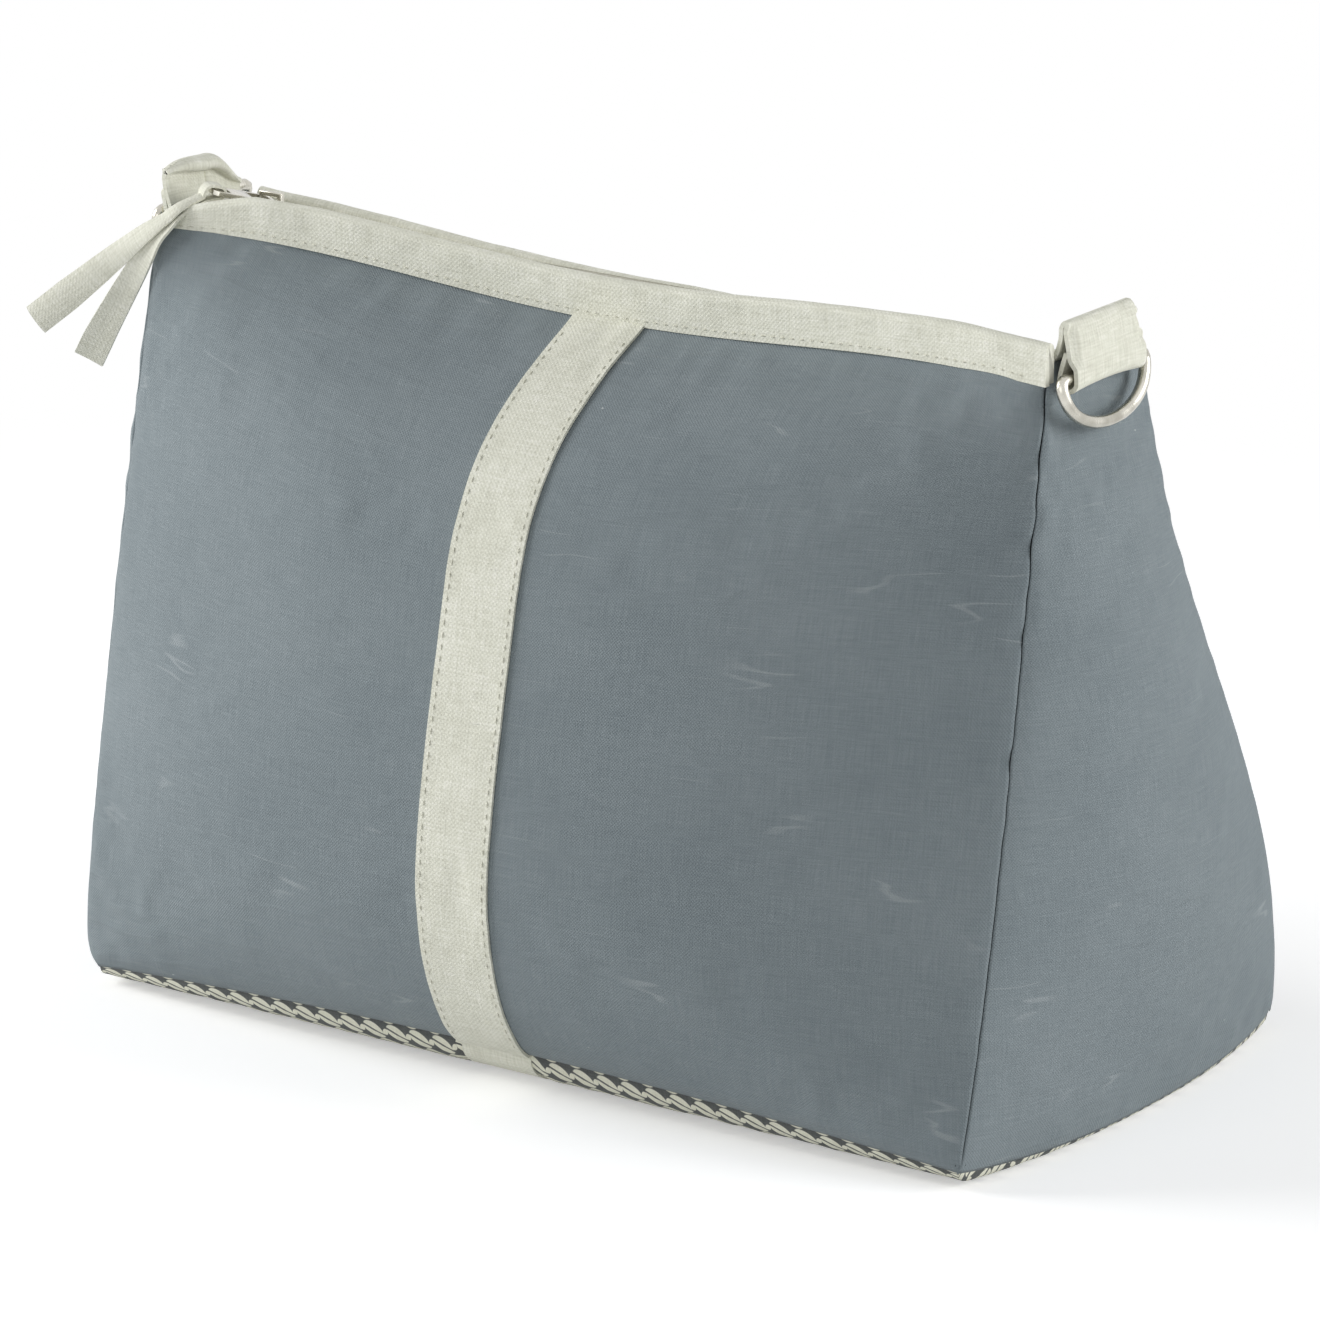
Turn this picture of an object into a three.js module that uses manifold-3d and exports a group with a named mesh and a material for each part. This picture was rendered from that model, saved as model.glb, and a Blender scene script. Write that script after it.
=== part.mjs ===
// A padded toiletry bag: puffed quilted walls, a printed base, linen trim and a zip along the top.
// Millimetres, +Z up, the front wall faces -Y, and the base stands on z = 0.
import * as THREE from "three";
import { mergeVertices } from "three/addons/utils/BufferGeometryUtils.js";
import Module from "manifold-3d";

const wasm = await Module();
wasm.setup();
const { Manifold, Mesh } = wasm;

// Driving sizes of the body.
const BODY_WIDTH = 266;        // between the corner seams, at their widest
const BASE_FRONT = 66.3;       // origin to the front base corners
const BASE_BACK = 82.6;        // origin to the line of the back seams, carried down to the base
const FRONT_TOP = 182.4;       // upper edge of the front wall, half way along
const BACK_DROP = 2.5;         // how much lower the back wall ends, because it sags a little
const END_RISE = 4.7;          // how much higher the long walls end at their corners
const GUSSET_RISE = 10.1;      // how much higher the two end gussets end
const FRONT_CROWN = 31.2;      // how far the front wall swells past its seams
const BACK_CROWN = 14.1;       // how far the back wall swells past its seams
const GUSSET_CROWN = 12;       // how far the gussets swell past theirs
const BASE_TUCK = 2.2;         // how far the seams draw in at the base corners
const SHOULDER_TUCK = 3;       // how far the seams lean in towards the top
const BACK_TUCK = 5;           // how far the back seams draw in at the base corners
const BACK_BOW = 5.3;          // how far the back seams bow out below and in above
const SEAM_LIFT = 3.4;         // height of the base seam at the corners
const FRONT_SEAM_RISE = 7.1;   // further rise of the base seam, half way along the front
const END_SEAM_RISE = 1;       // further rise of the base seam, half way along an end
const BASE_CROWN = 6;          // how far the base bows out at the front and back
const END_CROWN = 8;           // how far it bows out at the ends

// Driving sizes of the padding.
const COVER_THICK = 0.8;
const WADDING_THICK = 5;
const LINING_THICK = 0.6;
const BASE_COVER_THICK = 2;
const EDGE_SQUEEZE = 0.65;     // share of the thickness that the top seam presses out
const GAP = 0.3;               // air between pieces that touch in the real bag
const LINING_GAP = 0.9;        // air between the padding and the lining of a wall
const MITRE_GAP = 0.3;         // further air along the mitred corners
const FOOT_GAP = 0.6;          // air under the foot of each wall

// Driving sizes of the linen trim.
const BAND_WIDTH = 20.5;
const BAND_THICK = 0.8;
const BINDING_THICK = 3.6;
const BINDING_HEIGHT = 9;      // half way along
const BINDING_NARROW = 0.5;    // how much less it is at the ends
const BINDING_LEG = 1;
const BINDING_END = 6.6;       // end of a binding to the line of the corner seams

// Driving sizes of the mouth and the zip.
const MOUTH_Y = -12;           // the zip lies forward of the middle
const MOUTH_MIDDLE = 7.5;      // zip line to binding, half way along
const MOUTH_END = 18.5;        // zip line to binding, at the ends
const ZIP_RISE = 5.1;          // upper edge of the front wall to the zip plane
const TAPE_THICK = 0.7;
const FOLD_LINE = 5;           // zip line to the line where the free tape folds
const TAPE_END = 2.9;          // end of the whole tape to the end of a binding
const CHAIN_END_IN = 7.1;      // end of the fixed teeth to the end of the tape
const CHAIN_EDGE = 2.3;        // zip line to the outer edge of the teeth
const CHAIN_THICK = 1.8;
const TOOTH_PITCH = 4;
const TOOTH_WIDTH = 1.5;
const TOOTH_REACH = 0.9;
const SLIDER_IN = 13.7;        // closed slider to the end of the tape
const SLIDER_LENGTH = 11;
const SLIDER_WIDTH = 9;
const SLIDER_PLATE = 1.1;
const SLIDER_CHANNEL = 1.3;    // zip plane to the inside of a slider plate
const BAIL_LEG_X = 2.8;
const BAIL_THICK = 1.2;
const BAIL_HEIGHT = 5.6;
const BAIL_BAR = 1.1;           // thickness of the top bar of the bail

// Driving sizes of the puller and its ribbon.
const PULLER_YAW = 235;        // degrees from +X, so it lies to the front left
const PULLER_TILT = 15;
const PULLER_LIFT = 3.05;      // slider top to the root bar of the puller, which leans on the binding
const PULLER_WIDTH = 9.2;
const PULLER_LENGTH = 16.4;
const PULLER_NECK = 6.5;       // where the puller starts to narrow
const PULLER_BLADE = 9.5;      // where it has narrowed
const PULLER_THICK = 1.2;
const RIBBON_WIDTH = 8.5;
const RIBBON_THICK = 1.2;

// Driving sizes of the end loops and their rings.
const LOOP_WIDTH = 32;
const LOOP_THICK = 2.4;
const LOOP_IN = 8.25;          // root of a loop to the line of the corner seams
const LOOP_TUCK = 1.5;         // how far below the front wall's edge a loop is sewn in
const LOOP_FOLD = 6.9;         // between the two runs of a loop
const RIGHT_LOOP_RISE = 19.4;  // upper edge of the front wall to the top of the right loop
const LEFT_LOOP_RISE = 20;
const LOOP_LENGTH = 24.5;      // the two straight runs of one loop together
const LOOP_SLOPE = 14;         // degrees that the hanging run leans outwards
const RING_WIRE = 1.5;
const RING_HALF = 19;
const RING_DROP = 13;
const RING_LEAN = 12;

// Places that follow from the driving sizes.
const BACK_TOP = FRONT_TOP - BACK_DROP;
const GUSSET_TOP = FRONT_TOP + GUSSET_RISE;
const BINDING_REACH = BODY_WIDTH / 2 - BINDING_END;
const TAPE_REACH = BINDING_REACH - TAPE_END;
const ZIP_Z = FRONT_TOP + ZIP_RISE;
const SLIDER_X = SLIDER_IN - TAPE_REACH;
const SLIDER_TRAVEL = -2 * SLIDER_X;
const LOOP_ROOT_X = BODY_WIDTH / 2 - LOOP_IN;
const LOOP_ROOT_Z = FRONT_TOP - LOOP_TUCK;
const LOOP_HANG_X = LOOP_ROOT_X + LOOP_FOLD;
const RIGHT_LOOP_TOP = FRONT_TOP + RIGHT_LOOP_RISE;
const LEFT_LOOP_TOP = FRONT_TOP + LEFT_LOOP_RISE;

const lerp = THREE.MathUtils.lerp;
const radians = THREE.MathUtils.degToRad;
const point = (x, y, z) => new THREE.Vector3(x, y, z);

// Shape of the body, as functions of height and of the place along a wall.
function mouthHalf(x) {
  return MOUTH_MIDDLE + (MOUTH_END - MOUTH_MIDDLE) * (x / BINDING_REACH) ** 2;
}

function share(z) {
  return (z - SEAM_LIFT) / (GUSSET_TOP - SEAM_LIFT);
}

function cornerX(z) {
  const w = share(z);
  return BODY_WIDTH / 2 - BASE_TUCK * (1 - w) ** 6 - SHOULDER_TUCK * w ** 2;
}

function cornerY(z, side) {
  const w = share(z);
  const top = MOUTH_Y + side * (MOUTH_END + BINDING_THICK / 2);
  if (side < 0) {
    return lerp(-BASE_FRONT, top, w);
  }
  const bow = BACK_BOW * Math.sin(2 * Math.PI * w);
  return lerp(BASE_BACK, top, w) + bow - BACK_TUCK * (1 - w) ** 8;
}

function swell(v, power, root) {
  return Math.max(0, 1 - Math.abs(2 * v - 1) ** power) ** root;
}

function wallSwell(v) {
  return v < 0.5 ? swell(v, 3, 0.9) : swell(v, 5, 0.5);
}

function gussetSwell(v) {
  return v < 0.5 ? swell(v, 2, 1.1) : swell(v, 2, 1.8);
}

function across(s, power = 2.5) {
  return 1 - Math.abs(s) ** power;
}

function longWallTop(side, s) {
  return (side < 0 ? FRONT_TOP : BACK_TOP) + END_RISE * Math.abs(s) ** 1.5;
}

// The front wall has side -1 and the back wall side 1; s runs along the wall and v up it.
function longWallSurface(side, s, v) {
  const full = side < 0 ? FRONT_CROWN : BACK_CROWN;
  const z = lerp(SEAM_LIFT + FRONT_SEAM_RISE * (1 - s * s), longWallTop(side, s), v);
  const x = -side * s * cornerX(z);
  const crown = (BASE_CROWN * (1 - v) ** 4 + full * wallSwell(v)) * across(s);
  const edge = MOUTH_Y + side * (mouthHalf(x) + BINDING_THICK / 2);
  const y = cornerY(z, side) + side * crown;
  return point(x, lerp(y, edge, v ** 12 * across(s, 8)), z);
}

function gussetSurface(side, s, v) {
  const z = lerp(SEAM_LIFT + END_SEAM_RISE * (1 - s * s), GUSSET_TOP, v);
  const y = lerp(cornerY(z, -side), cornerY(z, side), (s + 1) / 2);
  const crown = (END_CROWN * (1 - v) ** 4 + GUSSET_CROWN * gussetSwell(v)) * across(s);
  return point(side * (cornerX(z) + crown), y, z);
}

// Depth runs inwards from the outer face; at the seams it follows the mitre shared with the next wall.
function inset(surface, outward, along, s, v, depth) {
  const step = 0.004;
  const low = surface(0, Math.max(0, v - step));
  const high = surface(0, Math.min(1, v + step));
  const rise = high.z - low.z;
  const lean = high.clone().sub(low).dot(outward);
  const length = Math.hypot(rise, lean);
  const edge = Math.abs(s) ** 8;
  const foot = (1 - v) ** 12;
  const squeezed = depth * (1 - EDGE_SQUEEZE * v ** 10);
  const inwards = lerp(rise / length, 1, Math.max(edge, foot));
  const upwards = lerp(lerp(lean / length, 0, edge), 1, foot);
  const place = surface(s, v);
  place.addScaledVector(outward, -squeezed * inwards);
  place.addScaledVector(along, -Math.sign(s) * edge * (squeezed + MITRE_GAP));
  place.z += squeezed * upwards + FOOT_GAP * foot;
  return place;
}

function frontWall(s, v, depth) {
  return inset((a, b) => longWallSurface(-1, a, b), point(0, -1, 0), point(1, 0, 0), s, v, depth);
}

function backWall(s, v, depth) {
  return inset((a, b) => longWallSurface(1, a, b), point(0, 1, 0), point(-1, 0, 0), s, v, depth);
}

function rightGusset(s, v, depth) {
  return inset((a, b) => gussetSurface(1, a, b), point(1, 0, 0), point(0, 1, 0), s, v, depth);
}

function leftGusset(s, v, depth) {
  return inset((a, b) => gussetSurface(-1, a, b), point(-1, 0, 0), point(0, -1, 0), s, v, depth);
}

// The base is flat in its middle and turns up to the seam, where it meets the foot of each wall.
const END_FLAT = 0.925;
const SIDE_FLAT = 0.71;

function turnUp(place, flat) {
  return Math.max(0, (Math.abs(place) - flat) / (1 - flat)) ** 2;
}

function baseFloor(a, b, depth) {
  const turn = Math.max(turnUp(a, END_FLAT), turnUp(b, SIDE_FLAT));
  const seam = SEAM_LIFT + FRONT_SEAM_RISE * (1 - a * a) + END_SEAM_RISE * (1 - b * b);
  const x = a * (cornerX(seam) + END_CROWN * across(b));
  const y = lerp(cornerY(seam, -1), cornerY(seam, 1), (b + 1) / 2) + b * BASE_CROWN * across(a);
  const insetX = Math.sign(a) * Math.abs(a) ** 8 * depth;
  const insetY = Math.sign(b) * Math.abs(b) ** 8 * depth;
  return point(x - insetX, y - insetY, seam * turn + depth);
}

// Mesh builders.
function meshFrom(points, triangles) {
  const geometry = new THREE.BufferGeometry();
  geometry.setAttribute("position", new THREE.Float32BufferAttribute(points.flatMap((p) => p.toArray()), 3));
  geometry.setIndex(triangles);
  geometry.computeVertexNormals();
  return geometry;
}

function evenly(count, from, to) {
  return Array.from({ length: count + 1 }, (_, i) => lerp(from, to, i / count));
}

// Stations from -1 to 1, or from 0 to 1, that crowd towards both ends.
function crowded(count, from, to) {
  return evenly(count, 0, Math.PI).map((angle) => lerp(from, to, (1 - Math.cos(angle)) / 2));
}

// A sheet between two depths of a wall, closed around its four edges.
function slab(wall, columns, rows, near, far) {
  const points = [];
  const triangles = [];
  const wide = columns.length;
  const high = rows.length;
  for (const depth of [near, far]) {
    for (const v of rows) {
      for (const s of columns) {
        points.push(wall(s, v, depth));
      }
    }
  }
  const outer = (i, j) => j * wide + i;
  const inner = (i, j) => wide * high + outer(i, j);
  const quad = (a, b, c, d) => triangles.push(a, b, c, a, c, d);
  for (let j = 0; j < high - 1; j += 1) {
    for (let i = 0; i < wide - 1; i += 1) {
      quad(outer(i, j), outer(i + 1, j), outer(i + 1, j + 1), outer(i, j + 1));
      quad(inner(i, j), inner(i, j + 1), inner(i + 1, j + 1), inner(i + 1, j));
    }
  }
  for (let i = 0; i < wide - 1; i += 1) {
    quad(outer(i, 0), inner(i, 0), inner(i + 1, 0), outer(i + 1, 0));
    quad(outer(i, high - 1), outer(i + 1, high - 1), inner(i + 1, high - 1), inner(i, high - 1));
  }
  for (let j = 0; j < high - 1; j += 1) {
    quad(outer(0, j), outer(0, j + 1), inner(0, j + 1), inner(0, j));
    quad(outer(wide - 1, j), inner(wide - 1, j), inner(wide - 1, j + 1), outer(wide - 1, j + 1));
  }
  return meshFrom(points, triangles);
}

// A run of equal closed outlines joined along their length; flat holds the first outline in its plane.
function skin(loops, flat) {
  const count = loops[0].length;
  const triangles = [];
  const last = (loops.length - 1) * count;
  for (let k = 0; k < loops.length - 1; k += 1) {
    for (let i = 0; i < count; i += 1) {
      const here = k * count + i;
      const next = k * count + ((i + 1) % count);
      triangles.push(here, next, next + count, here, next + count, here + count);
    }
  }
  for (const [a, b, c] of THREE.ShapeUtils.triangulateShape(flat, [])) {
    triangles.push(a, c, b, last + a, last + b, last + c);
  }
  return meshFrom(loops.flat(), triangles);
}

// A piece whose outline in the plane across the zip changes along the bag.
function alongMouth(stations, side, outlineAt) {
  const flatAt = (x) => {
    const outline = outlineAt(x).map(([away, z]) => new THREE.Vector2(MOUTH_Y + side * away, z));
    return THREE.ShapeUtils.isClockWise(outline) ? outline.reverse() : outline;
  };
  const loops = stations.map((x) => flatAt(x).map((p) => point(x, p.x, p.y)));
  return skin(loops, flatAt(stations[0]));
}

// A flat strip along a path of places, each with its own width and thickness.
function strip(places, widthAt, thickAt) {
  const loops = places.map(({ at, tangent, wide }, k) => {
    const u = k / (places.length - 1);
    const out = wide.clone().addScaledVector(tangent, -wide.dot(tangent)).normalize();
    const up = tangent.clone().cross(out);
    const half = widthAt(u) / 2;
    const thin = thickAt(u) / 2;
    const corners = [[-1, -1], [1, -1], [1, 1], [-1, 1]];
    return corners.map(([a, b]) => at.clone().addScaledVector(out, a * half).addScaledVector(up, b * thin));
  });
  const flat = [[-1, -1], [1, -1], [1, 1], [-1, 1]].map(([a, b]) => new THREE.Vector2(a, b));
  return skin(loops, flat);
}

function toSolid(geometry) {
  const bare = new THREE.BufferGeometry();
  bare.setAttribute("position", geometry.getAttribute("position"));
  if (geometry.index) {
    bare.setIndex(geometry.index);
  }
  const welded = mergeVertices(bare, 1e-4);
  return new Manifold(new Mesh({
    numProp: 3,
    vertProperties: new Float32Array(welded.getAttribute("position").array),
    triVerts: new Uint32Array(welded.index.array),
  }));
}

function toGeometry(solid) {
  const mesh = solid.getMesh();
  const geometry = new THREE.BufferGeometry();
  geometry.setAttribute("position", new THREE.Float32BufferAttribute(mesh.vertProperties, 3));
  geometry.setIndex(Array.from(mesh.triVerts));
  geometry.computeVertexNormals();
  return geometry;
}

function block(x0, x1, y0, y1, z0, z1) {
  return Manifold.cube([x1 - x0, y1 - y0, z1 - z0]).translate([x0, y0, z0]);
}

// The finished bag.
const bag = new THREE.Group();
bag.name = "toiletry_bag";

const GREY_CLOTH = { color: 0x848d8e, roughness: 0.92, metalness: 0 };
const WADDING = { color: 0xe9e7df, roughness: 1, metalness: 0 };
const LINING = { color: 0xd9d6cb, roughness: 0.9, metalness: 0 };
const PRINT = { color: 0xd6d4c2, roughness: 0.9, metalness: 0 };
const LINEN = { color: 0xd3d2c4, roughness: 0.92, metalness: 0 };
const TAPE = { color: 0xc9c6b6, roughness: 0.9, metalness: 0 };
const TEETH = { color: 0xcfcabb, roughness: 0.45, metalness: 0 };
const STEEL = { color: 0xb9bcbf, roughness: 0.28, metalness: 1 };

function add(name, geometry, look) {
  const mesh = new THREE.Mesh(geometry, new THREE.MeshStandardMaterial(look));
  mesh.name = name;
  bag.add(mesh);
}

// Walls and base: cover, wadding and lining, one inside the other.
const WADDING_IN = COVER_THICK + GAP;
const LINING_IN = WADDING_IN + WADDING_THICK + LINING_GAP;

function addWall(name, wall, columns, rows) {
  add(`${name}_cover`, slab(wall, columns, rows, 0, COVER_THICK), GREY_CLOTH);
  add(`${name}_wadding`, slab(wall, columns, rows, WADDING_IN, WADDING_IN + WADDING_THICK), WADDING);
  add(`${name}_lining`, slab(wall, columns, rows, LINING_IN, LINING_IN + LINING_THICK), LINING);
}

// Places along the walls; the long walls have two more at the edges of the linen band.
const BAND_SHARE = BAND_WIDTH / (BODY_WIDTH - 2 * SHOULDER_TUCK);
const END_COLUMNS = [...crowded(8, -1, 1), -0.97, 0.97].sort((a, b) => a - b);
const LONG_COLUMNS = [...END_COLUMNS, -BAND_SHARE, BAND_SHARE].sort((a, b) => a - b);
const LONG_ROWS = crowded(10, 0, 1);
const END_ROWS = crowded(10, 0, 1);

function addBase() {
  const columns = LONG_COLUMNS;
  const rows = END_COLUMNS;
  const floor = (a, b, depth) => baseFloor(a, -b, depth);
  const wadding = BASE_COVER_THICK + GAP;
  const lining = wadding + WADDING_THICK + GAP;
  const groove = BAND_WIDTH / 2 + GAP;
  const cover = toSolid(slab(floor, columns, rows, 0, BASE_COVER_THICK));
  const raised = (a, b, depth) => {
    const place = floor(0, b, depth);
    place.x = a * groove;
    return place;
  };
  const past = [-1.06, ...rows, 1.06];
  const channel = toSolid(slab(raised, [-1, 0, 1], past, -2, BAND_THICK + 2 * GAP));
  add("base_cover", toGeometry(cover.subtract(channel)), PRINT);
  add("base_wadding", slab(floor, columns, rows, wadding, wadding + WADDING_THICK), WADDING);
  add("base_lining", slab(floor, columns, rows, lining, lining + LINING_THICK), LINING);
}

function addBands() {
  const columns = evenly(2, -BAND_SHARE, BAND_SHARE);
  add("front_band", slab(frontWall, columns, LONG_ROWS, -GAP - BAND_THICK, -GAP), LINEN);
  add("back_band", slab(backWall, columns, LONG_ROWS, -GAP - BAND_THICK, -GAP), LINEN);
  const under = (a, b, depth) => {
    const place = baseFloor(0, -b, depth);
    place.x = a * BAND_WIDTH / 2;
    return place;
  };
  add("base_band", slab(under, [-1, 0, 1], END_COLUMNS, GAP / 2, GAP / 2 + BAND_THICK), LINEN);
}

// Bindings: a folded strip over the raw edge of wall and tape, open below.
const BAND_AT_TOP = (BAND_THICK + GAP) * (1 - EDGE_SQUEEZE);

function bindingFoot(x, side) {
  return longWallTop(side, x / cornerX(FRONT_TOP)) + BAND_AT_TOP + GAP;
}

function bindingTop(x, side) {
  return bindingFoot(x, side) + BINDING_HEIGHT - BINDING_NARROW * (x / BINDING_REACH) ** 2;
}

function bindingOutline(x, side) {
  const near = mouthHalf(x);
  const far = near + BINDING_THICK;
  const lip = ZIP_Z + TAPE_THICK / 2 + GAP;
  const foot = bindingFoot(x, side);
  const top = bindingTop(x, side);
  const roof = top - BINDING_LEG;
  return [
    [near, lip], [near, top], [far, top], [far, foot], [far - BINDING_LEG, foot], [far - BINDING_LEG, roof],
    [near + BINDING_LEG, roof], [near + BINDING_LEG, lip],
  ];
}

// The sewn edge of the zip tape turns up inside the binding.
function tapeEdgeOutline(x, side) {
  const low = ZIP_Z - TAPE_THICK / 2;
  const high = ZIP_Z + TAPE_THICK / 2;
  const wall = mouthHalf(x) + BINDING_LEG + GAP;
  const top = bindingTop(x, side) - BINDING_LEG - GAP;
  return [
    [FOLD_LINE + GAP / 2, low], [wall + TAPE_THICK, low], [wall + TAPE_THICK, top],
    [wall, top], [wall, high], [FOLD_LINE + GAP / 2, high],
  ];
}

function addMouthEdge(name, side) {
  const bindingRun = evenly(16, -BINDING_REACH, BINDING_REACH);
  const tapeRun = evenly(16, -TAPE_REACH, TAPE_REACH);
  add(`${name}_binding`, alongMouth(bindingRun, side, (x) => bindingOutline(x, side)), LINEN);
  add(`${name}_tape_edge`, alongMouth(tapeRun, side, (x) => tapeEdgeOutline(x, side)), TAPE);
}

// Zip: free tapes with one comb of teeth each, fixed ends, stops, slider and puller.
const CHAIN_START = SLIDER_X - 1.6;
const CHAIN_END = SLIDER_X + SLIDER_TRAVEL - 2;

function flatPiece(outline, holes, thick, z) {
  const shape = new THREE.Shape(outline.map(([x, y]) => new THREE.Vector2(x, y)));
  for (const hole of holes) {
    shape.holes.push(new THREE.Path(hole.map(([x, y]) => new THREE.Vector2(x, y))));
  }
  const geometry = new THREE.ExtrudeGeometry(shape, { depth: thick, bevelEnabled: false });
  geometry.translate(0, 0, z - thick / 2);
  return geometry;
}

function rectangle(x0, x1, y0, y1) {
  return [[x0, y0], [x1, y0], [x1, y1], [x0, y1]];
}

function addFreeTape(name, side) {
  const outer = MOUTH_Y + side * (FOLD_LINE - GAP / 2);
  const inner = MOUTH_Y + side * (CHAIN_EDGE + GAP);
  const strap = rectangle(CHAIN_START, CHAIN_END, Math.min(outer, inner), Math.max(outer, inner));
  add(`${name}_tape`, flatPiece(strap, [], TAPE_THICK, ZIP_Z), TAPE);
  const spine = MOUTH_Y + side * TOOTH_REACH * 1.2;
  const back = MOUTH_Y + side * CHAIN_EDGE;
  const tip = MOUTH_Y - side * TOOTH_REACH;
  const outline = [[CHAIN_START, back], [CHAIN_START, spine]];
  const first = CHAIN_START + (side > 0 ? 0.4 : 0.4 + TOOTH_PITCH / 2);
  for (let x = first; x + TOOTH_WIDTH < CHAIN_END; x += TOOTH_PITCH) {
    outline.push([x, spine], [x, tip], [x + TOOTH_WIDTH, tip], [x + TOOTH_WIDTH, spine]);
  }
  outline.push([CHAIN_END, spine], [CHAIN_END, back]);
  add(`${name}_teeth`, flatPiece(outline, [], CHAIN_THICK, ZIP_Z), TEETH);
}

const SLOT_HALF = CHAIN_EDGE + GAP;
const LEFT_SLOT = SLIDER_X - SLIDER_LENGTH / 2 - 3;
const RIGHT_CHAIN = CHAIN_END + GAP;
const RIGHT_CHAIN_END = TAPE_REACH - CHAIN_END_IN;
const STOP_LENGTH = 3;
const RIGHT_SLOT = RIGHT_CHAIN_END + STOP_LENGTH + 2 * GAP;

// The outer end of a tape, cut to a fork around the teeth.
function tapeFork(root, bottom, mouth) {
  const edge = FOLD_LINE - GAP / 2;
  return [
    [root, MOUTH_Y - edge], [mouth, MOUTH_Y - edge], [mouth, MOUTH_Y - SLOT_HALF],
    [bottom, MOUTH_Y - SLOT_HALF], [bottom, MOUTH_Y + SLOT_HALF], [mouth, MOUTH_Y + SLOT_HALF],
    [mouth, MOUTH_Y + edge], [root, MOUTH_Y + edge],
  ];
}

function addTapeEnds() {
  const left = tapeFork(-TAPE_REACH, LEFT_SLOT, CHAIN_START - GAP);
  const right = tapeFork(TAPE_REACH, RIGHT_SLOT, RIGHT_CHAIN);
  const chain = rectangle(RIGHT_CHAIN, RIGHT_CHAIN_END, MOUTH_Y - CHAIN_EDGE, MOUTH_Y + CHAIN_EDGE);
  add("left_tape_end", flatPiece(left, [], TAPE_THICK, ZIP_Z), TAPE);
  add("right_tape_end", flatPiece(right, [], TAPE_THICK, ZIP_Z), TAPE);
  add("right_chain_end", flatPiece(chain, [], CHAIN_THICK, ZIP_Z), TEETH);
}

// Metal clips on the tape edges that stop the slider.
const CLIP_HALF = 1.2;
const CLIP_SLOT = TAPE_THICK / 2 + GAP;

function topStopOutline() {
  const back = SLOT_HALF - GAP;
  const tip = back + 2.2;
  const root = back - 0.8;
  return [
    [root, ZIP_Z - CLIP_HALF], [tip, ZIP_Z - CLIP_HALF], [tip, ZIP_Z - CLIP_SLOT], [back, ZIP_Z - CLIP_SLOT],
    [back, ZIP_Z + CLIP_SLOT], [tip, ZIP_Z + CLIP_SLOT], [tip, ZIP_Z + CLIP_HALF], [root, ZIP_Z + CLIP_HALF],
  ];
}

function bottomStopOutline() {
  const core = SLOT_HALF - GAP;
  const tip = core + 1.6;
  const right = [
    [tip, ZIP_Z - CLIP_HALF], [tip, ZIP_Z - CLIP_SLOT], [core, ZIP_Z - CLIP_SLOT],
    [core, ZIP_Z + CLIP_SLOT], [tip, ZIP_Z + CLIP_SLOT], [tip, ZIP_Z + CLIP_HALF],
  ];
  const left = right.map(([away, z]) => [-away, z]).reverse();
  return [...right, ...left];
}

function addStops() {
  const topRun = [LEFT_SLOT + 0.4, SLIDER_X - SLIDER_LENGTH / 2 - 0.4];
  const bottomRun = [RIGHT_CHAIN_END + GAP, RIGHT_CHAIN_END + GAP + STOP_LENGTH];
  add("front_top_stop", alongMouth(topRun, -1, topStopOutline), STEEL);
  add("back_top_stop", alongMouth(topRun, 1, topStopOutline), STEEL);
  add("bottom_stop", alongMouth(bottomRun, 1, bottomStopOutline), STEEL);
}

const SLIDER_TOP = ZIP_Z + SLIDER_CHANNEL + SLIDER_PLATE;

function sliderPlate(z0, z1) {
  const half = SLIDER_LENGTH / 2;
  const wide = SLIDER_WIDTH / 2;
  const narrow = wide * 0.84;
  const outline = [
    [-half + 1.4, -wide], [half, -narrow], [half, narrow], [-half + 1.4, wide], [-half, wide - 1.8],
    [-half, 1.8 - wide],
  ];
  return toSolid(flatPiece(outline, [], z1 - z0, (z0 + z1) / 2));
}

function sliderRail(side, z0, z1) {
  const inner = CHAIN_EDGE + 1.1;
  const outer = SLIDER_WIDTH / 2 * 0.84;
  const near = Math.min(side * inner, side * outer);
  const far = Math.max(side * inner, side * outer);
  return block(-2.5, SLIDER_LENGTH / 2, near, far, z0, z1);
}

function addSlider() {
  const low = -SLIDER_CHANNEL;
  const high = SLIDER_CHANNEL;
  const slot = TAPE_THICK / 2 + 0.4;
  const bite = 0.1;
  const wedge = [[-4.9, 0], [-3.6, -1.5], [-2.1, 0], [-3.6, 1.5]];
  const legTop = SLIDER_CHANNEL + SLIDER_PLATE + BAIL_HEIGHT;
  const legFoot = SLIDER_CHANNEL + SLIDER_PLATE - bite;
  const legHalf = BAIL_THICK / 2;
  const pieces = [
    sliderPlate(high, high + SLIDER_PLATE),
    sliderPlate(low - SLIDER_PLATE, low),
    toSolid(flatPiece(wedge, [], 2 * (SLIDER_CHANNEL + bite), 0)),
    block(-BAIL_LEG_X - legHalf, BAIL_LEG_X + legHalf, -0.7, 0.7, legTop - BAIL_BAR, legTop),
  ];
  for (const side of [-1, 1]) {
    pieces.push(sliderRail(side, slot, high + bite));
    pieces.push(sliderRail(side, low - bite, -slot));
    pieces.push(block(side * BAIL_LEG_X - legHalf, side * BAIL_LEG_X + legHalf, -0.7, 0.7, legFoot, legTop));
  }
  const slider = Manifold.union(pieces).translate([SLIDER_X, MOUTH_Y, ZIP_Z]);
  add("zip_slider", toGeometry(slider), STEEL);
}

// The puller lies on its root bar under the bail; local x runs to its tip.
const PULLER_PIVOT = point(SLIDER_X, MOUTH_Y, SLIDER_TOP + PULLER_LIFT);
const EYE_NEAR = 11.6;
const EYE_FAR = 14.2;

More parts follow.
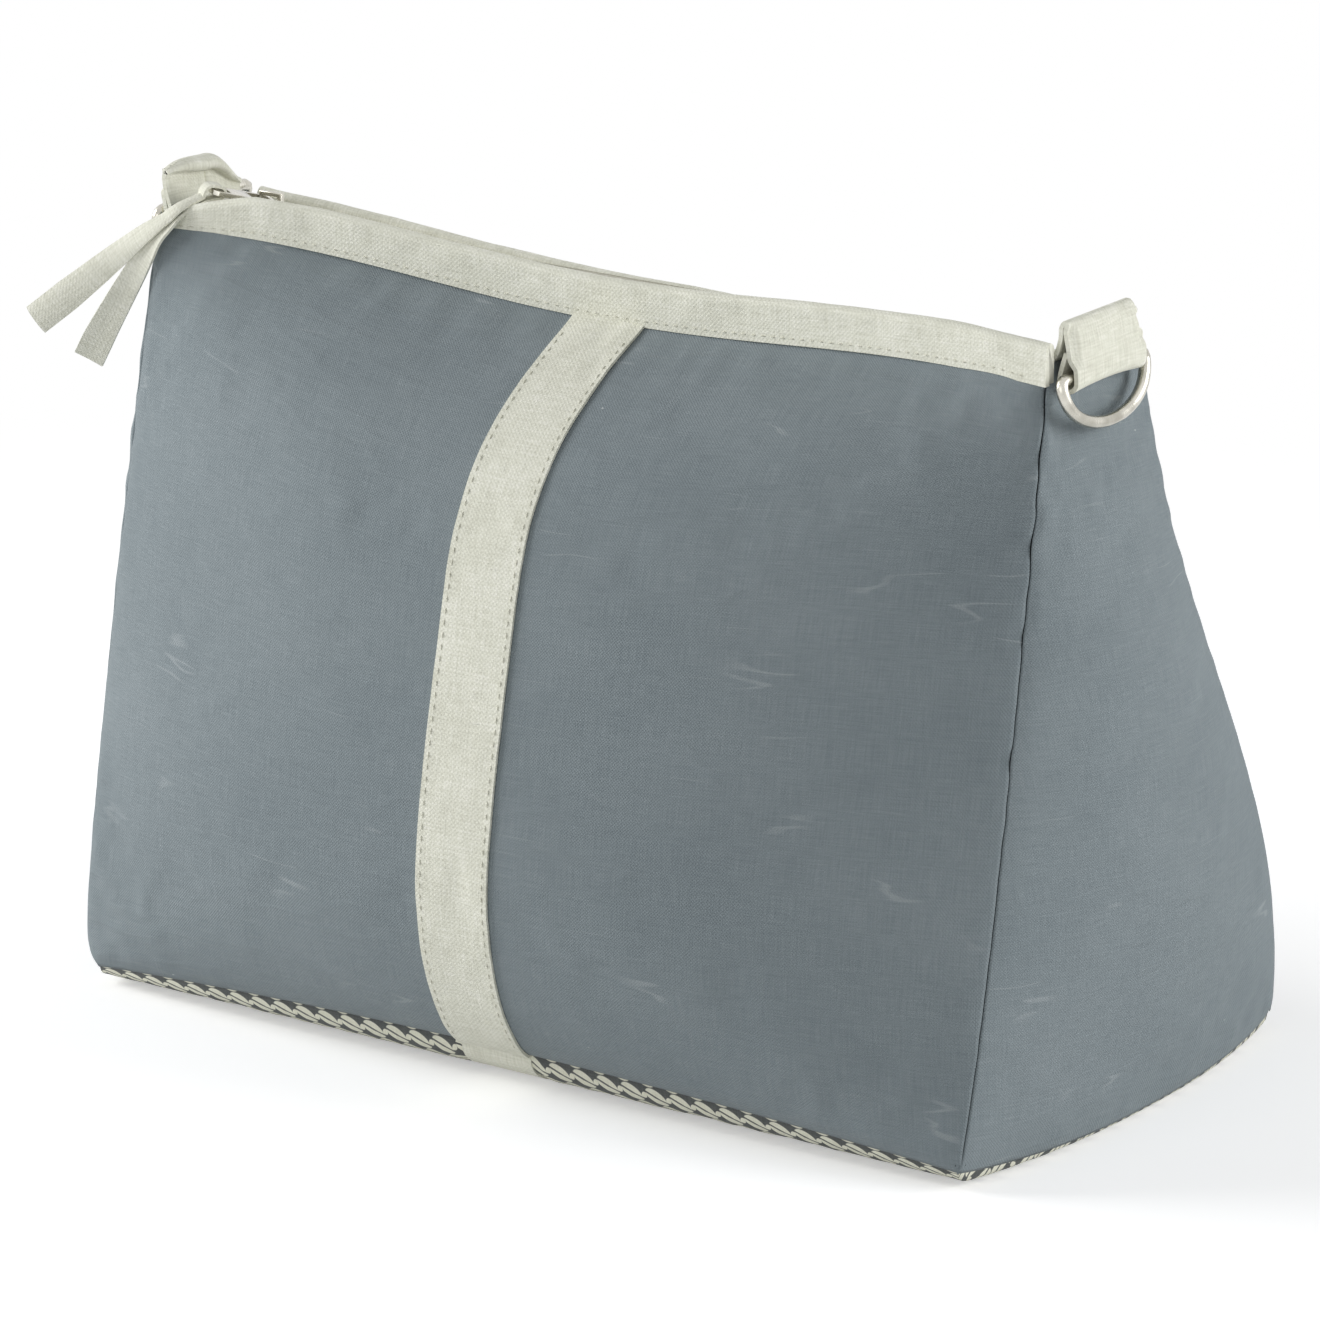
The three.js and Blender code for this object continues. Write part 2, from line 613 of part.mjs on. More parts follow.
function placeOnPuller(geometry) {
  geometry.rotateY(-radians(PULLER_TILT));
  geometry.rotateZ(radians(PULLER_YAW));
  geometry.translate(PULLER_PIVOT.x, PULLER_PIVOT.y, PULLER_PIVOT.z);
  return geometry;
}

function addPuller() {
  const root = PULLER_WIDTH / 2;
  const tip = root * 0.82;
  const outline = [
    [-0.5, -root + 0.6], [0.1, -root], [PULLER_NECK, -root], [PULLER_BLADE, -tip],
    [PULLER_LENGTH - 1.2, -tip], [PULLER_LENGTH, -tip + 1.2], [PULLER_LENGTH, tip - 1.2],
    [PULLER_LENGTH - 1.2, tip], [PULLER_BLADE, tip], [PULLER_NECK, root], [0.1, root], [-0.5, root - 0.6],
  ];
  const window = rectangle(0.5, PULLER_NECK - 0.3, 1.2 - root, root - 1.2);
  const eye = rectangle(EYE_NEAR, EYE_FAR, -2.4, 2.4);
  add("zip_puller", placeOnPuller(flatPiece(outline, [window, eye], PULLER_THICK, 0)), STEEL);
}

// Ribbon: one length of linen through the eye, kept as its fold and its two free tails.
function curvePlaces(points, widths, count) {
  const path = new THREE.CatmullRomCurve3(points.map((p) => point(...p)), false, "centripetal");
  const turn = new THREE.CatmullRomCurve3(widths.map((p) => point(...p)), false, "centripetal");
  return evenly(count, 0, 1).map((u) => ({
    at: path.getPoint(u),
    tangent: path.getTangent(u),
    wide: turn.getPoint(u),
  }));
}

function addRibbonFold() {
  const around = [[17.6, 1.6], [15.2, 1.45], [13.6, 1.2], [12.9, 0], [13.6, -1.2], [15.2, -1.45], [17.6, -1.6]];
  const points = around.map(([x, z]) => [x, 0, z]);
  const places = curvePlaces(points, points.map(() => [0, 1, 0]), 16);
  add("ribbon_fold", placeOnPuller(strip(places, () => 4.2, () => 0.8)), LINEN);
}

// Route of each tail, from the pivot of the puller, and the way its width faces at the same places.
const FRONT_TAIL = [
  [-10.5, -15, 6.4], [-10.8, -21.5, 6.7], [-13, -27.5, 3.9],
  [-17, -31.2, -3], [-30.8, -32, -15.65], [-48.5, -32, -31.05],
];
const FRONT_TAIL_WIDTHS = [
  [-0.82, 0.57, 0], [-0.88, 0.4, 0.1], [-0.78, 0.15, 0.4], [-0.6, -0.1, 0.6], [-0.52, -0.14, 0.6],
  [-0.52, -0.14, 0.6],
];
const BACK_TAIL = [
  [-10.7, -15.2, 3.6], [-11.2, -21, 4.2], [-13.8, -25.6, 1.4],
  [-17.8, -27, -5.9], [-22, -27.3, -14.15], [-28, -28, -26.05], [-35.2, -28, -39.35],
];
const BACK_TAIL_WIDTHS = [
  [-0.82, 0.57, 0], [-0.9, 0.35, 0.05], [-0.88, 0.15, 0.2], [-0.76, -0.2, 0.35], [-0.71, -0.35, 0.38],
  [-0.71, -0.35, 0.38], [-0.71, -0.35, 0.38],
];

function addTail(name, route, widths) {
  const widen = (u) => lerp(4.2, RIBBON_WIDTH, Math.min(1, u * 2.5));
  const tail = strip(curvePlaces(route, widths, 20), widen, () => RIBBON_THICK);
  add(name, tail.translate(PULLER_PIVOT.x, PULLER_PIVOT.y, PULLER_PIVOT.z), LINEN);
}

// End loops: a strap sewn in behind the zip, folded over outwards, its hem holding the ring.
function loopRoute(top) {
  const radius = (LOOP_HANG_X - LOOP_ROOT_X) / 2;
  const centreZ = top - LOOP_THICK / 2 - radius;
  const hang = LOOP_LENGTH - (centreZ - LOOP_ROOT_Z);
  const slope = radians(LOOP_SLOPE);
  const eye = { x: LOOP_HANG_X + hang * Math.sin(slope), z: centreZ - hang * Math.cos(slope) };
  const route = [[LOOP_ROOT_X, LOOP_ROOT_Z]];
  for (const angle of evenly(8, Math.PI, 0)) {
    route.push([LOOP_ROOT_X + radius + radius * Math.cos(angle), centreZ + radius * Math.sin(angle)]);
  }
  route.push([eye.x, eye.z]);
  return { route, eye };
}

function addLoop(name, side, top) {
  const { route, eye } = loopRoute(top);
  const places = route.map(([x, z], k) => {
    const before = route[Math.max(0, k - 1)];
    const after = route[Math.min(route.length - 1, k + 1)];
    const tangent = point(side * (after[0] - before[0]), 0, after[1] - before[1]).normalize();
    return { at: point(side * x, MOUTH_Y, z), tangent, wide: point(0, side, 0) };
  });
  const strap = toSolid(strip(places, () => LOOP_WIDTH, () => LOOP_THICK));
  const bar = (radius, length) => Manifold.cylinder(length, radius, radius, 14, true)
    .rotate([90, 0, 0])
    .translate([side * eye.x, MOUTH_Y, eye.z]);
  const hem = bar(RING_WIRE + GAP + 1.1, LOOP_WIDTH);
  const bore = bar(RING_WIRE + GAP + 0.05, LOOP_WIDTH + 2);
  add(name, toGeometry(strap.add(hem).subtract(bore)), LINEN);
}

// A wire ring, straight along its bar and round below; it hangs outside the gusset.
function addRing(name, side, top) {
  const { eye } = loopRoute(top);
  const lean = radians(RING_LEAN);
  const down = point(side * Math.sin(lean), 0, -Math.cos(lean));
  const face = point(side * Math.cos(lean), 0, Math.sin(lean));
  const centre = point(side * eye.x, MOUTH_Y, eye.z);
  const outline = [];
  for (const angle of evenly(16, 0, Math.PI)) {
    outline.push([RING_HALF * Math.cos(angle), RING_DROP * Math.sin(angle) ** 0.8]);
  }
  for (const y of [-0.92, -0.5, 0, 0.5, 0.92]) {
    outline.push([y * RING_HALF, 0]);
  }
  const sides = 8;
  const points = [];
  const triangles = [];
  outline.forEach(([y, d], k) => {
    const [y0, d0] = outline[(k + outline.length - 1) % outline.length];
    const [y1, d1] = outline[(k + 1) % outline.length];
    const before = new THREE.Vector2(y - y0, d - d0).normalize();
    const after = new THREE.Vector2(y1 - y, d1 - d).normalize();
    const heading = before.add(after).normalize();
    const outward = point(0, 1, 0).multiplyScalar(heading.y).addScaledVector(down, -heading.x);
    const at = centre.clone().addScaledVector(point(0, 1, 0), y).addScaledVector(down, d);
    for (let i = 0; i < sides; i += 1) {
      const turn = (2 * Math.PI * (i + 0.5)) / sides;
      const offset = outward.clone().multiplyScalar(Math.cos(turn)).addScaledVector(face, Math.sin(turn));
      points.push(at.clone().addScaledVector(offset, RING_WIRE));
    }
  });
  outline.forEach((_, k) => {
    for (let i = 0; i < sides; i += 1) {
      const here = k * sides + i;
      const beside = k * sides + ((i + 1) % sides);
      const ahead = ((k + 1) % outline.length) * sides + i;
      const across = ((k + 1) % outline.length) * sides + ((i + 1) % sides);
      const rightHand = [here, beside, across, here, across, ahead];
      const leftHand = [here, across, beside, here, ahead, across];
      triangles.push(...(side > 0 ? rightHand : leftHand));
    }
  });
  add(name, meshFrom(points, triangles), STEEL);
}

addWall("front", frontWall, LONG_COLUMNS, LONG_ROWS);
addWall("back", backWall, LONG_COLUMNS, LONG_ROWS);
addWall("left", leftGusset, END_COLUMNS, END_ROWS);
addWall("right", rightGusset, END_COLUMNS, END_ROWS);
addBase();
addBands();
addMouthEdge("front", -1);
addMouthEdge("back", 1);
addFreeTape("front", -1);
addFreeTape("back", 1);
addTapeEnds();
addStops();
addSlider();
addPuller();
addRibbonFold();
addTail("ribbon_front_tail", FRONT_TAIL, FRONT_TAIL_WIDTHS);
addTail("ribbon_back_tail", BACK_TAIL, BACK_TAIL_WIDTHS);
addLoop("left_loop", -1, LEFT_LOOP_TOP);
addLoop("right_loop", 1, RIGHT_LOOP_TOP);
addRing("left_d_ring", -1, LEFT_LOOP_TOP);
addRing("right_d_ring", 1, RIGHT_LOOP_TOP);

export default bag;
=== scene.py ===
"""Looks of a padded toiletry bag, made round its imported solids.

Lengths are in millimetres until a mesh is made.
"""
import math

import bmesh
import bpy
import numpy as np
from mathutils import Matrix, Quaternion, Vector, noise


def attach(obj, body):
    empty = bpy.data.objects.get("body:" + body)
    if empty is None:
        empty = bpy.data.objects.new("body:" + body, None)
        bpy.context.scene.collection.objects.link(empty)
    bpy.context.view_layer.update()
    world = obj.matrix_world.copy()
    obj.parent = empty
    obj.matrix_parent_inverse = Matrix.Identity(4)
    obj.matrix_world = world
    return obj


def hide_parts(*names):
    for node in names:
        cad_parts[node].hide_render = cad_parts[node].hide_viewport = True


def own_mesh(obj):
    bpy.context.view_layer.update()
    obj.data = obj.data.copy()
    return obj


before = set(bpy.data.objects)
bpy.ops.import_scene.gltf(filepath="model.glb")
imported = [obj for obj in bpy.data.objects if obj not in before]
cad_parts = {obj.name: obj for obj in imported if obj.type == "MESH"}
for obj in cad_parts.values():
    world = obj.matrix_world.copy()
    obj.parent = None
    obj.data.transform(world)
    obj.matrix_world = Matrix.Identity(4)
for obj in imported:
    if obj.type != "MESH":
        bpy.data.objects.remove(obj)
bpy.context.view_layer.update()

MM = 0.001
UP = np.array([0, 0, 1.0])

# Sizes of the bag, as the solids have them.
BODY_WIDTH = 266
BASE_FRONT, BASE_BACK = 66.3, 82.6
FRONT_TOP, BACK_TOP, GUSSET_TOP = 182, 177.6, 192.5
FRONT_CROWN, BACK_CROWN, GUSSET_CROWN = 31.2, 14.1, 12
BASE_TUCK, BACK_TUCK, BACK_BOW, SHOULDER_TUCK = 2.2, 5, 5.3, 3
LOWEST_SEAM, SEAM_LIFT, FRONT_SEAM_RISE, END_SEAM_DROP = 3.4, 4.6, 6.2, 2.8
BASE_CROWN, END_CROWN = 6, 8
END_FLAT, SIDE_FLAT = 0.925, 0.71
PAD_THICK, LINING_IN, LINING_THICK = 6.0, 7.0, 0.6
BASE_PAD_THICK, BASE_LINING_IN = 7.0, 7.6
EDGE_SQUEEZE, MITRE_GAP, FOOT_GAP = 0.65, 0.6, 0.6
BAND_WIDTH, BAND_THICK = 20.5, 0.7
BINDING_THICK, BINDING_HEIGHT, BINDING_NARROW, BINDING_REACH = 3.6, 9, 0.5, 126.4
MOUTH_Y, MOUTH_MIDDLE, MOUTH_END = -12, 7.5, 18.5
ZIP_Z, TAPE_THICK, TAPE_REACH = 187.5, 0.7, 123.5
FOLD_LINE, FOLD_GAP, END_GAP, TAPE_UNDER_CHAIN = 5, 0.35, 0.15, 0.3
CHAIN_EDGE, CHAIN_THICK, CHAIN_START, CHAIN_END = 2.3, 1.8, -111.4, 107.8
TOOTH_PITCH, TOOTH_WIDTH, TOOTH_REACH = 4, 1.5, 0.9
LEFT_SLOT, RIGHT_CHAIN, RIGHT_CHAIN_END, RIGHT_SLOT = -118.3, 108.1, 116.4, 120
RIGHT_EYE, LEFT_EYE = np.array([133.646, 189.145]), np.array([133.501, 190.327])
RING_WIRE, RING_HALF, RING_DROP, RING_LEAN = 1.5, 18.2, 12.6, 12
PULLER_PIVOT = np.array([-109.8, -12.0, 192.95])
PULLER_YAW, PULLER_TILT = 235, 15
RIBBON_WIDTH, TAIL_WIDTH, RIBBON_THICK = 8.5, 7.8, 1.0

# Where the cloth leaves the solids: the mouth rises more to its ends, the back lies lower, two left
# corners are rounded off, and the loops and the left ring lie a little aside.
RISE_FRONT_LEFT, RISE_FRONT_RIGHT, RISE_REACH = 7.4, 6.6, 0.9
BACK_LEFT_LIFT, BACK_RIGHT_SAG, BACK_END_LIFT = 3.4, 2.2, 8
GUSSET_LEFT_DROP, GUSSET_RIGHT_DROP = 9, 4.5
FOOT_ROUND, FOOT_ROUND_HEIGHT = 5.0, 4.5
CORNER_ROUND, CORNER_START, CORNER_HEIGHT = 5.2, 182, 9
BINDING_TAPER, TAPER_START, TAPER_LENGTH = 6.0, 102, 26
SEAM_HALF, SEAM_WAVE, SEAM_DEPTH = 0.7, 0.8, 1.3
LOOP_WIDTH, RIGHT_LOOP_Y, LEFT_LOOP_Y, LEFT_RING_Y = 30, -15, -12.2, -9
OUTER_BACK, OUTER_FROM, OUTER_OVER = 7, 132.1, 1.2

# Sewing: how deep edges are tucked in, and over what distance.
SEAM_REACH, WAVE_REACH = 3, 4
TURN_DEPTH, TURN_REACH = 0.3, 0.8
FOOT_TUCK, BASE_END_TUCK, BASE_SIDE_TUCK, BAND_TUCK = 1.0, 1.4, 1.2, 0.7
TUCK_REACH, TUCK_POWER = 2.0, 1.3
MITRE_POWER, FOOT_POWER, MOUTH_POWER = 8, 12, 10
BASE_HALF_LENGTH, BASE_HALF_DEPTH = 133, 72

# Unevenness of padded cloth: height, width and seed of its lumps.
LUMPS = ((0.4, 34, 0.0), (0.12, 13, 7.7))
BINDING_LUMPS = ((0.35, 13, 4.0), (0.2, 5, 9.0))
BASE_PUFF, BAND_GROOVE, BAND_GROOVE_EDGE = 0.5, 0.95, 1.4

# Points along and up each wall, its lining and the base.
WALL_GRIDS = {"front": (170, 120), "back": (130, 90), "left": (80, 110), "right": (90, 120)}
LINING_GRID, BASE_GRID, BASE_LINING_GRID = (50, 40), (140, 70), (60, 40)

# Camera, from the photograph: where it looks, how far away it stands, and its angles.
CAMERA_TARGET = (-0.634, 0, 90.741)
CAMERA_DISTANCE = 2000
CAMERA_AZIMUTH, CAMERA_ELEVATION, CAMERA_ROLL = 34.689, 16.85, 0.263
CAMERA_FOCAL_PIXELS, PHOTO_PIXELS, SENSOR = 8165.966, 1320, 36
CAMERA_NEAR, CAMERA_FAR = 0.05, 50


def lerp(a, b, t):
    return a + (b - a) * t


def smooth(t):
    t = np.clip(t, 0, 1)
    return t * t * (3 - 2 * t)


def fade(distance, reach, power=TUCK_POWER):
    """Falls off from 1 at no distance."""
    return np.exp(-(distance / reach) ** power)


# Camera.
def make_camera():
    azimuth, elevation = math.radians(CAMERA_AZIMUTH), math.radians(CAMERA_ELEVATION)
    back = Vector((
        math.sin(azimuth) * math.cos(elevation),
        -math.cos(azimuth) * math.cos(elevation),
        math.sin(elevation),
    ))
    data = bpy.data.cameras.new("camera")
    data.sensor_width = SENSOR
    data.lens = CAMERA_FOCAL_PIXELS / PHOTO_PIXELS * SENSOR
    data.clip_start, data.clip_end = CAMERA_NEAR, CAMERA_FAR
    camera = bpy.data.objects.new("camera", data)
    bpy.context.scene.collection.objects.link(camera)
    camera.location = (Vector(CAMERA_TARGET) + back * CAMERA_DISTANCE) * MM
    upright = (-back).to_track_quat("-Z", "Y")
    camera.rotation_euler = (upright @ Quaternion((0, 0, 1), math.radians(CAMERA_ROLL))).to_euler()
    bpy.context.scene.camera = camera


# Mesh helpers. A grid is an array of points, rows by columns by three.
def new_object(name, points, faces, uvs=None, sharp=None):
    mesh = bpy.data.meshes.new(name)
    mesh.from_pydata((np.asarray(points, float).reshape(-1, 3) * MM).tolist(), [], faces)
    mesh.update()
    mesh.polygons.foreach_set("use_smooth", np.ones(len(mesh.polygons), bool))
    if uvs is not None:
        layer = mesh.uv_layers.new(name="cloth")
        corners = np.zeros(len(mesh.loops), np.int32)
        mesh.loops.foreach_get("vertex_index", corners)
        layer.data.foreach_set("uv", (np.asarray(uvs, float).reshape(-1, 2)[corners] * MM).ravel())
    if sharp is not None:
        mesh.set_sharp_from_angle(angle=math.radians(sharp))
    piece = bpy.data.objects.new(name, mesh)
    bpy.context.scene.collection.objects.link(piece)
    return piece


def grid_faces(rows, columns, start=0, flip=False):
    index = start + np.arange(rows * columns).reshape(rows, columns)
    quads = np.stack([index[:-1, :-1], index[:-1, 1:], index[1:, 1:], index[1:, :-1]], -1).reshape(-1, 4)
    return (quads[:, ::-1] if flip else quads).tolist()


def rim_faces(rows, columns):
    """Quads between the edges of two grids of equal size that follow each other."""
    index = np.arange(rows * columns).reshape(rows, columns)
    edge = np.concatenate([index[0, :-1], index[:-1, -1], index[-1, :0:-1], index[:0:-1, 0]])
    after = np.roll(edge, -1)
    far = rows * columns
    return np.stack([edge, edge + far, after + far, after], -1).tolist()


def normals_of(grid):
    along = np.gradient(grid, axis=1)
    up = np.gradient(grid, axis=0)
    normal = np.cross(along, up)
    return normal / np.maximum(np.linalg.norm(normal, axis=-1, keepdims=True), 1e-9)


def lengths_along(points):
    """Distance of each point from the first, along the line through them all."""
    return np.concatenate([[0], np.cumsum(np.linalg.norm(np.diff(points, axis=0), axis=-1))])


def arc_uv(grid):
    """Cloth lengths along the middle column and each row, so that threads keep their width."""
    steps_u = np.linalg.norm(np.diff(grid, axis=1), axis=-1)
    u = np.concatenate([np.zeros((len(grid), 1)), np.cumsum(steps_u, axis=1)], axis=1)
    u = u - u[:, [u.shape[1] // 2]]
    v = lengths_along(grid[:, grid.shape[1] // 2])
    return np.stack([u, np.broadcast_to(v[:, None], u.shape)], -1)


def closed_pair(name, outer, inner, sharp=None):
    rows, columns = outer.shape[:2]
    uv = arc_uv(outer)
    faces = grid_faces(rows, columns) + grid_faces(rows, columns, rows * columns, True)
    faces += rim_faces(rows, columns)
    points = np.concatenate([outer.reshape(-1, 3), inner.reshape(-1, 3)])
    uvs = np.concatenate([uv.reshape(-1, 2), uv.reshape(-1, 2)])
    return new_object(name, points, faces, uvs, sharp)


def slab(name, middle, thick, sharp=50):
    """A cloth of even thickness on both sides of a grid."""
    offset = normals_of(middle) * (np.asarray(thick)[..., None] / 2 if np.ndim(thick) else thick / 2)
    return closed_pair(name, middle + offset, middle - offset, sharp)


def tube_faces(rings, sides, closed):
    faces = []
    for k in range(rings if closed else rings - 1):
        for i in range(sides):
            here, beside = k * sides + i, k * sides + (i + 1) % sides
            ahead = ((k + 1) % rings) * sides
            faces.append((here, beside, ahead + (i + 1) % sides, ahead + i))
    if not closed:
        faces.append(tuple(range(sides - 1, -1, -1)))
        faces.append(tuple((rings - 1) * sides + i for i in range(sides)))
    return faces


def circle(first, second, turns):
    """Unit directions round a circle that two directions span."""
    return first * np.cos(turns)[None, :, None] + second * np.sin(turns)[None, :, None]


def wobble(points, size, seed=0.0):
    """Smooth noise between -1 and 1 at each point; size is the width of a lump."""
    flat = np.asarray(points, float).reshape(-1, 3) / size + seed
    values = [noise.noise(Vector(p)) for p in flat]
    return np.array(values).reshape(np.shape(points)[:-1])


def lumpy(points, lumps):
    """Layers of smooth noise, each given as its height, the width of a lump and a seed."""
    return sum(height * wobble(points, size, seed) for height, size, seed in lumps)


# Shape of the walls, from the same formulas as the solids; s runs along a wall and v up it.
def mouth_half(x):
    return MOUTH_MIDDLE + (MOUTH_END - MOUTH_MIDDLE) * (x / BINDING_REACH) ** 2


def height_share(z):
    return (z - LOWEST_SEAM) / (GUSSET_TOP - LOWEST_SEAM)


def foot_round(z):
    return np.exp(-(np.maximum(z, LOWEST_SEAM) - LOWEST_SEAM) / FOOT_ROUND_HEIGHT)


def foot_in(x, z):
    """How far the lower left corners are drawn in towards the middle."""
    return np.where(x < 0, -FOOT_ROUND * foot_round(z), 0)


def corner_x(z):
    w = height_share(z)
    return BODY_WIDTH / 2 - BASE_TUCK * (1 - w) ** 6 - SHOULDER_TUCK * w ** 2


def corner_y(z, side):
    w = height_share(z)
    top = MOUTH_Y + side * (MOUTH_END + BINDING_THICK / 2)
    if side < 0:
        return lerp(-BASE_FRONT, top, w)
    return lerp(BASE_BACK, top, w) + BACK_BOW * np.sin(2 * math.pi * w) - BACK_TUCK * (1 - w) ** 8


def swell(v, power, root):
    return np.maximum(0, 1 - np.abs(2 * v - 1) ** power) ** root


def across(s, power=2.5):
    return 1 - np.abs(s) ** power


def long_wall_top(side, s):
    if side > 0:
        right_end = BACK_END_LIFT * smooth((-s - 0.82) / 0.17) ** 1.5
        return BACK_TOP + BACK_LEFT_LIFT * smooth(s / 0.85) - BACK_RIGHT_SAG * smooth(-s / 0.62) + right_end
    rise = np.where(s < 0, RISE_FRONT_LEFT, RISE_FRONT_RIGHT)
    share = np.minimum(np.abs(s) / RISE_REACH, 1)
    return FRONT_TOP + rise * (1 - np.cos(math.pi * share)) / 2


def corner_round(z):
    """How far the upper left front corner is drawn in, at a height."""
    return CORNER_ROUND * smooth((z - CORNER_START) / CORNER_HEIGHT) ** 1.5


def long_wall(side, s, v):
    full = FRONT_CROWN if side < 0 else BACK_CROWN
    z = lerp(SEAM_LIFT + FRONT_SEAM_RISE * (1 - s * s), long_wall_top(side, s), v)
    x = -side * s * corner_x(z)
    x = x - foot_in(x, z) * np.abs(s) ** 6
    if side < 0:
        x = x + np.where(s < 0, np.abs(s) ** 8 * corner_round(z), 0)
    bulge = np.where(v < 0.5, swell(v, 3, 0.9), swell(v, 5, 0.5))
    crown = (BASE_CROWN * (1 - v) ** 4 + full * bulge) * across(s)
    edge = MOUTH_Y + side * (mouth_half(x) + BINDING_THICK / 2)
    y = lerp(corner_y(z, side) + side * crown, edge, v ** 12 * across(s, 8))
    return np.stack([x, y, z], -1)


def gusset(side, s, v):
    back_drop = GUSSET_LEFT_DROP if side < 0 else GUSSET_RIGHT_DROP
    top = GUSSET_TOP - back_drop * ((1 + side * s) / 2) ** 3
    z = lerp(SEAM_LIFT - END_SEAM_DROP * (1 - s * s), top, v)
    y = lerp(corner_y(z, -side), corner_y(z, side), (s + 1) / 2)
    bulge = np.where(v < 0.5, swell(v, 2, 1.1), swell(v, 2, 1.8))
    crown = (END_CROWN * (1 - v) ** 4 + GUSSET_CROWN * bulge) * across(s)
    x = side * (corner_x(z) + crown)
    x = x - foot_in(x, z)
    if side < 0:
        x = x + ((s + 1) / 2) ** 10 * corner_round(z)
    return np.stack([x, y, z], -1)


def turn_up(place, flat):
    share = np.clip((np.abs(place) - flat) / (1 - flat), 0, 1)
    return 1 - np.sqrt(1 - share ** 2)


def base_floor(a, b, depth):
    turn = np.maximum(turn_up(a, END_FLAT), turn_up(b, SIDE_FLAT))
    seam = SEAM_LIFT + FRONT_SEAM_RISE * (1 - a * a) - END_SEAM_DROP * (1 - b * b)
    x = a * (corner_x(seam) + END_CROWN * across(b)) - np.sign(a) * np.abs(a) ** 8 * depth
    x = x - foot_in(a, seam) * np.abs(a) ** 6
    y = lerp(corner_y(seam, -1), corner_y(seam, 1), (b + 1) / 2) + b * BASE_CROWN * across(a)
    return np.stack([x, y - np.sign(b) * np.abs(b) ** 8 * depth, seam * turn + depth], -1)


def seam_wave(heights, corner):
    """How far a corner seam strays sideways; heights are points with only their z."""
    share = np.clip(heights[..., 2] / FRONT_TOP, 0, 1)
    return SEAM_WAVE * wobble(heights, 7, 20.3 * corner) * smooth(share * 12) * (0.3 + 0.7 * share ** 2)


class Wall:
    def __init__(self, surface, outward, along, half_width, height, corners):
        self.surface = surface
        self.outward = np.array(outward, float)
        self.along = np.array(along, float)
        self.half_width = half_width
        self.height = height
        self.corners = corners
        self.ripples = None

    def inset(self, s, v, depth):
        """A layer inside the wall; at the seams it follows the mitre shared with the next wall."""
        step = 0.004
        middle = np.zeros_like(v)
        run = self.surface(middle, np.minimum(1, v + step)) - self.surface(middle, np.maximum(0, v - step))
        rise, lean = run[..., 2], run @ self.outward
        length = np.hypot(rise, lean)
        edge, foot = np.abs(s) ** MITRE_POWER, (1 - v) ** FOOT_POWER
        squeezed = depth * (1 - EDGE_SQUEEZE * v ** MOUTH_POWER)
        inwards = squeezed * lerp(rise / length, 1, np.maximum(edge, foot))
        upwards = squeezed * lerp(lerp(lean / length, 0, edge), 1, foot) + FOOT_GAP * foot
        sideways = np.sign(s) * edge * (squeezed + MITRE_GAP)
        return (self.surface(s, v) - self.outward * inwards[..., None] - self.along * sideways[..., None]
                + UP * upwards[..., None])

    def seam_tuck(self, s, v):
        """The walls stop just short of the corner seams, whose line wavers; the foot is drawn in."""
        from_seam = (1 - np.abs(s)) * self.half_width
        gap = SEAM_HALF * fade(from_seam, SEAM_REACH, 2)
        turned = TURN_DEPTH * fade(from_seam, TURN_REACH)
        foot = FOOT_TUCK * fade(v * self.height, TUCK_REACH)
        heights = self.surface(s, v) * UP
        start, end = self.corners
        wave = np.where(s < 0, seam_wave(heights, start), seam_wave(heights, end))
        sideways = wave * fade(from_seam, WAVE_REACH, 2) - np.sign(s) * gap
        return self.along * sideways[..., None] - self.outward * (turned + foot)[..., None]

    def outer(self, s, v):
        points = self.surface(s, v)
        lumps = lumpy(points, LUMPS)
        from_edge = np.minimum(1, (1 - np.abs(s)) * self.half_width / 10)
        inner_part = from_edge * np.minimum(1, v * 14) * np.minimum(1, (1 - v) * 10)
        points = points + normals_of(points) * (lumps * inner_part)[..., None] + self.seam_tuck(s, v)
        if self.ripples is not None:
            points = points + resample(self.ripples, s[0], v[:, 0])
        return points


WALLS = {
    "front": Wall(lambda s, v: long_wall(-1, s, v), (0, -1, 0), (1, 0, 0), 133, 180, (3, 0)),
    "back": Wall(lambda s, v: long_wall(1, s, v), (0, 1, 0), (-1, 0, 0), 133, 177, (1, 2)),
    "left": Wall(lambda s, v: gusset(-1, s, v), (-1, 0, 0), (0, -1, 0), 50, 188, (2, 3)),
    "right": Wall(lambda s, v: gusset(1, s, v), (1, 0, 0), (0, 1, 0), 50, 188, (0, 1)),
}


def crowd(count, low, high, amount=0.5):
    """Places that lie closer together towards both ends."""
    even = np.linspace(0, 1, count)
    return lerp(low, high, lerp(even, (1 - np.cos(even * math.pi)) / 2, amount))


def cubic_matrix(count, places):
    """Weights that read a row of count even samples at places from 0 to 1, smoothly."""
    matrix = np.zeros((len(places), count))
    for row, place in enumerate(places):
        position = place * (count - 1)
        first = min(int(position), count - 2)
        t = position - first
        weights = (
            (-t + 2 * t * t - t ** 3) / 2,
            (2 - 5 * t * t + 3 * t ** 3) / 2,
            (t + 4 * t * t - 3 * t ** 3) / 2,
            (t ** 3 - t * t) / 2,
        )
        for k, weight in enumerate(weights):
            matrix[row, min(max(first - 1 + k, 0), count - 1)] += weight
    return matrix


def resample(field, s, v):
    rows = cubic_matrix(field.shape[0], v)
    columns = cubic_matrix(field.shape[1], (s + 1) / 2)
    return np.einsum("ri,cj,ijk->rck", rows, columns, field)


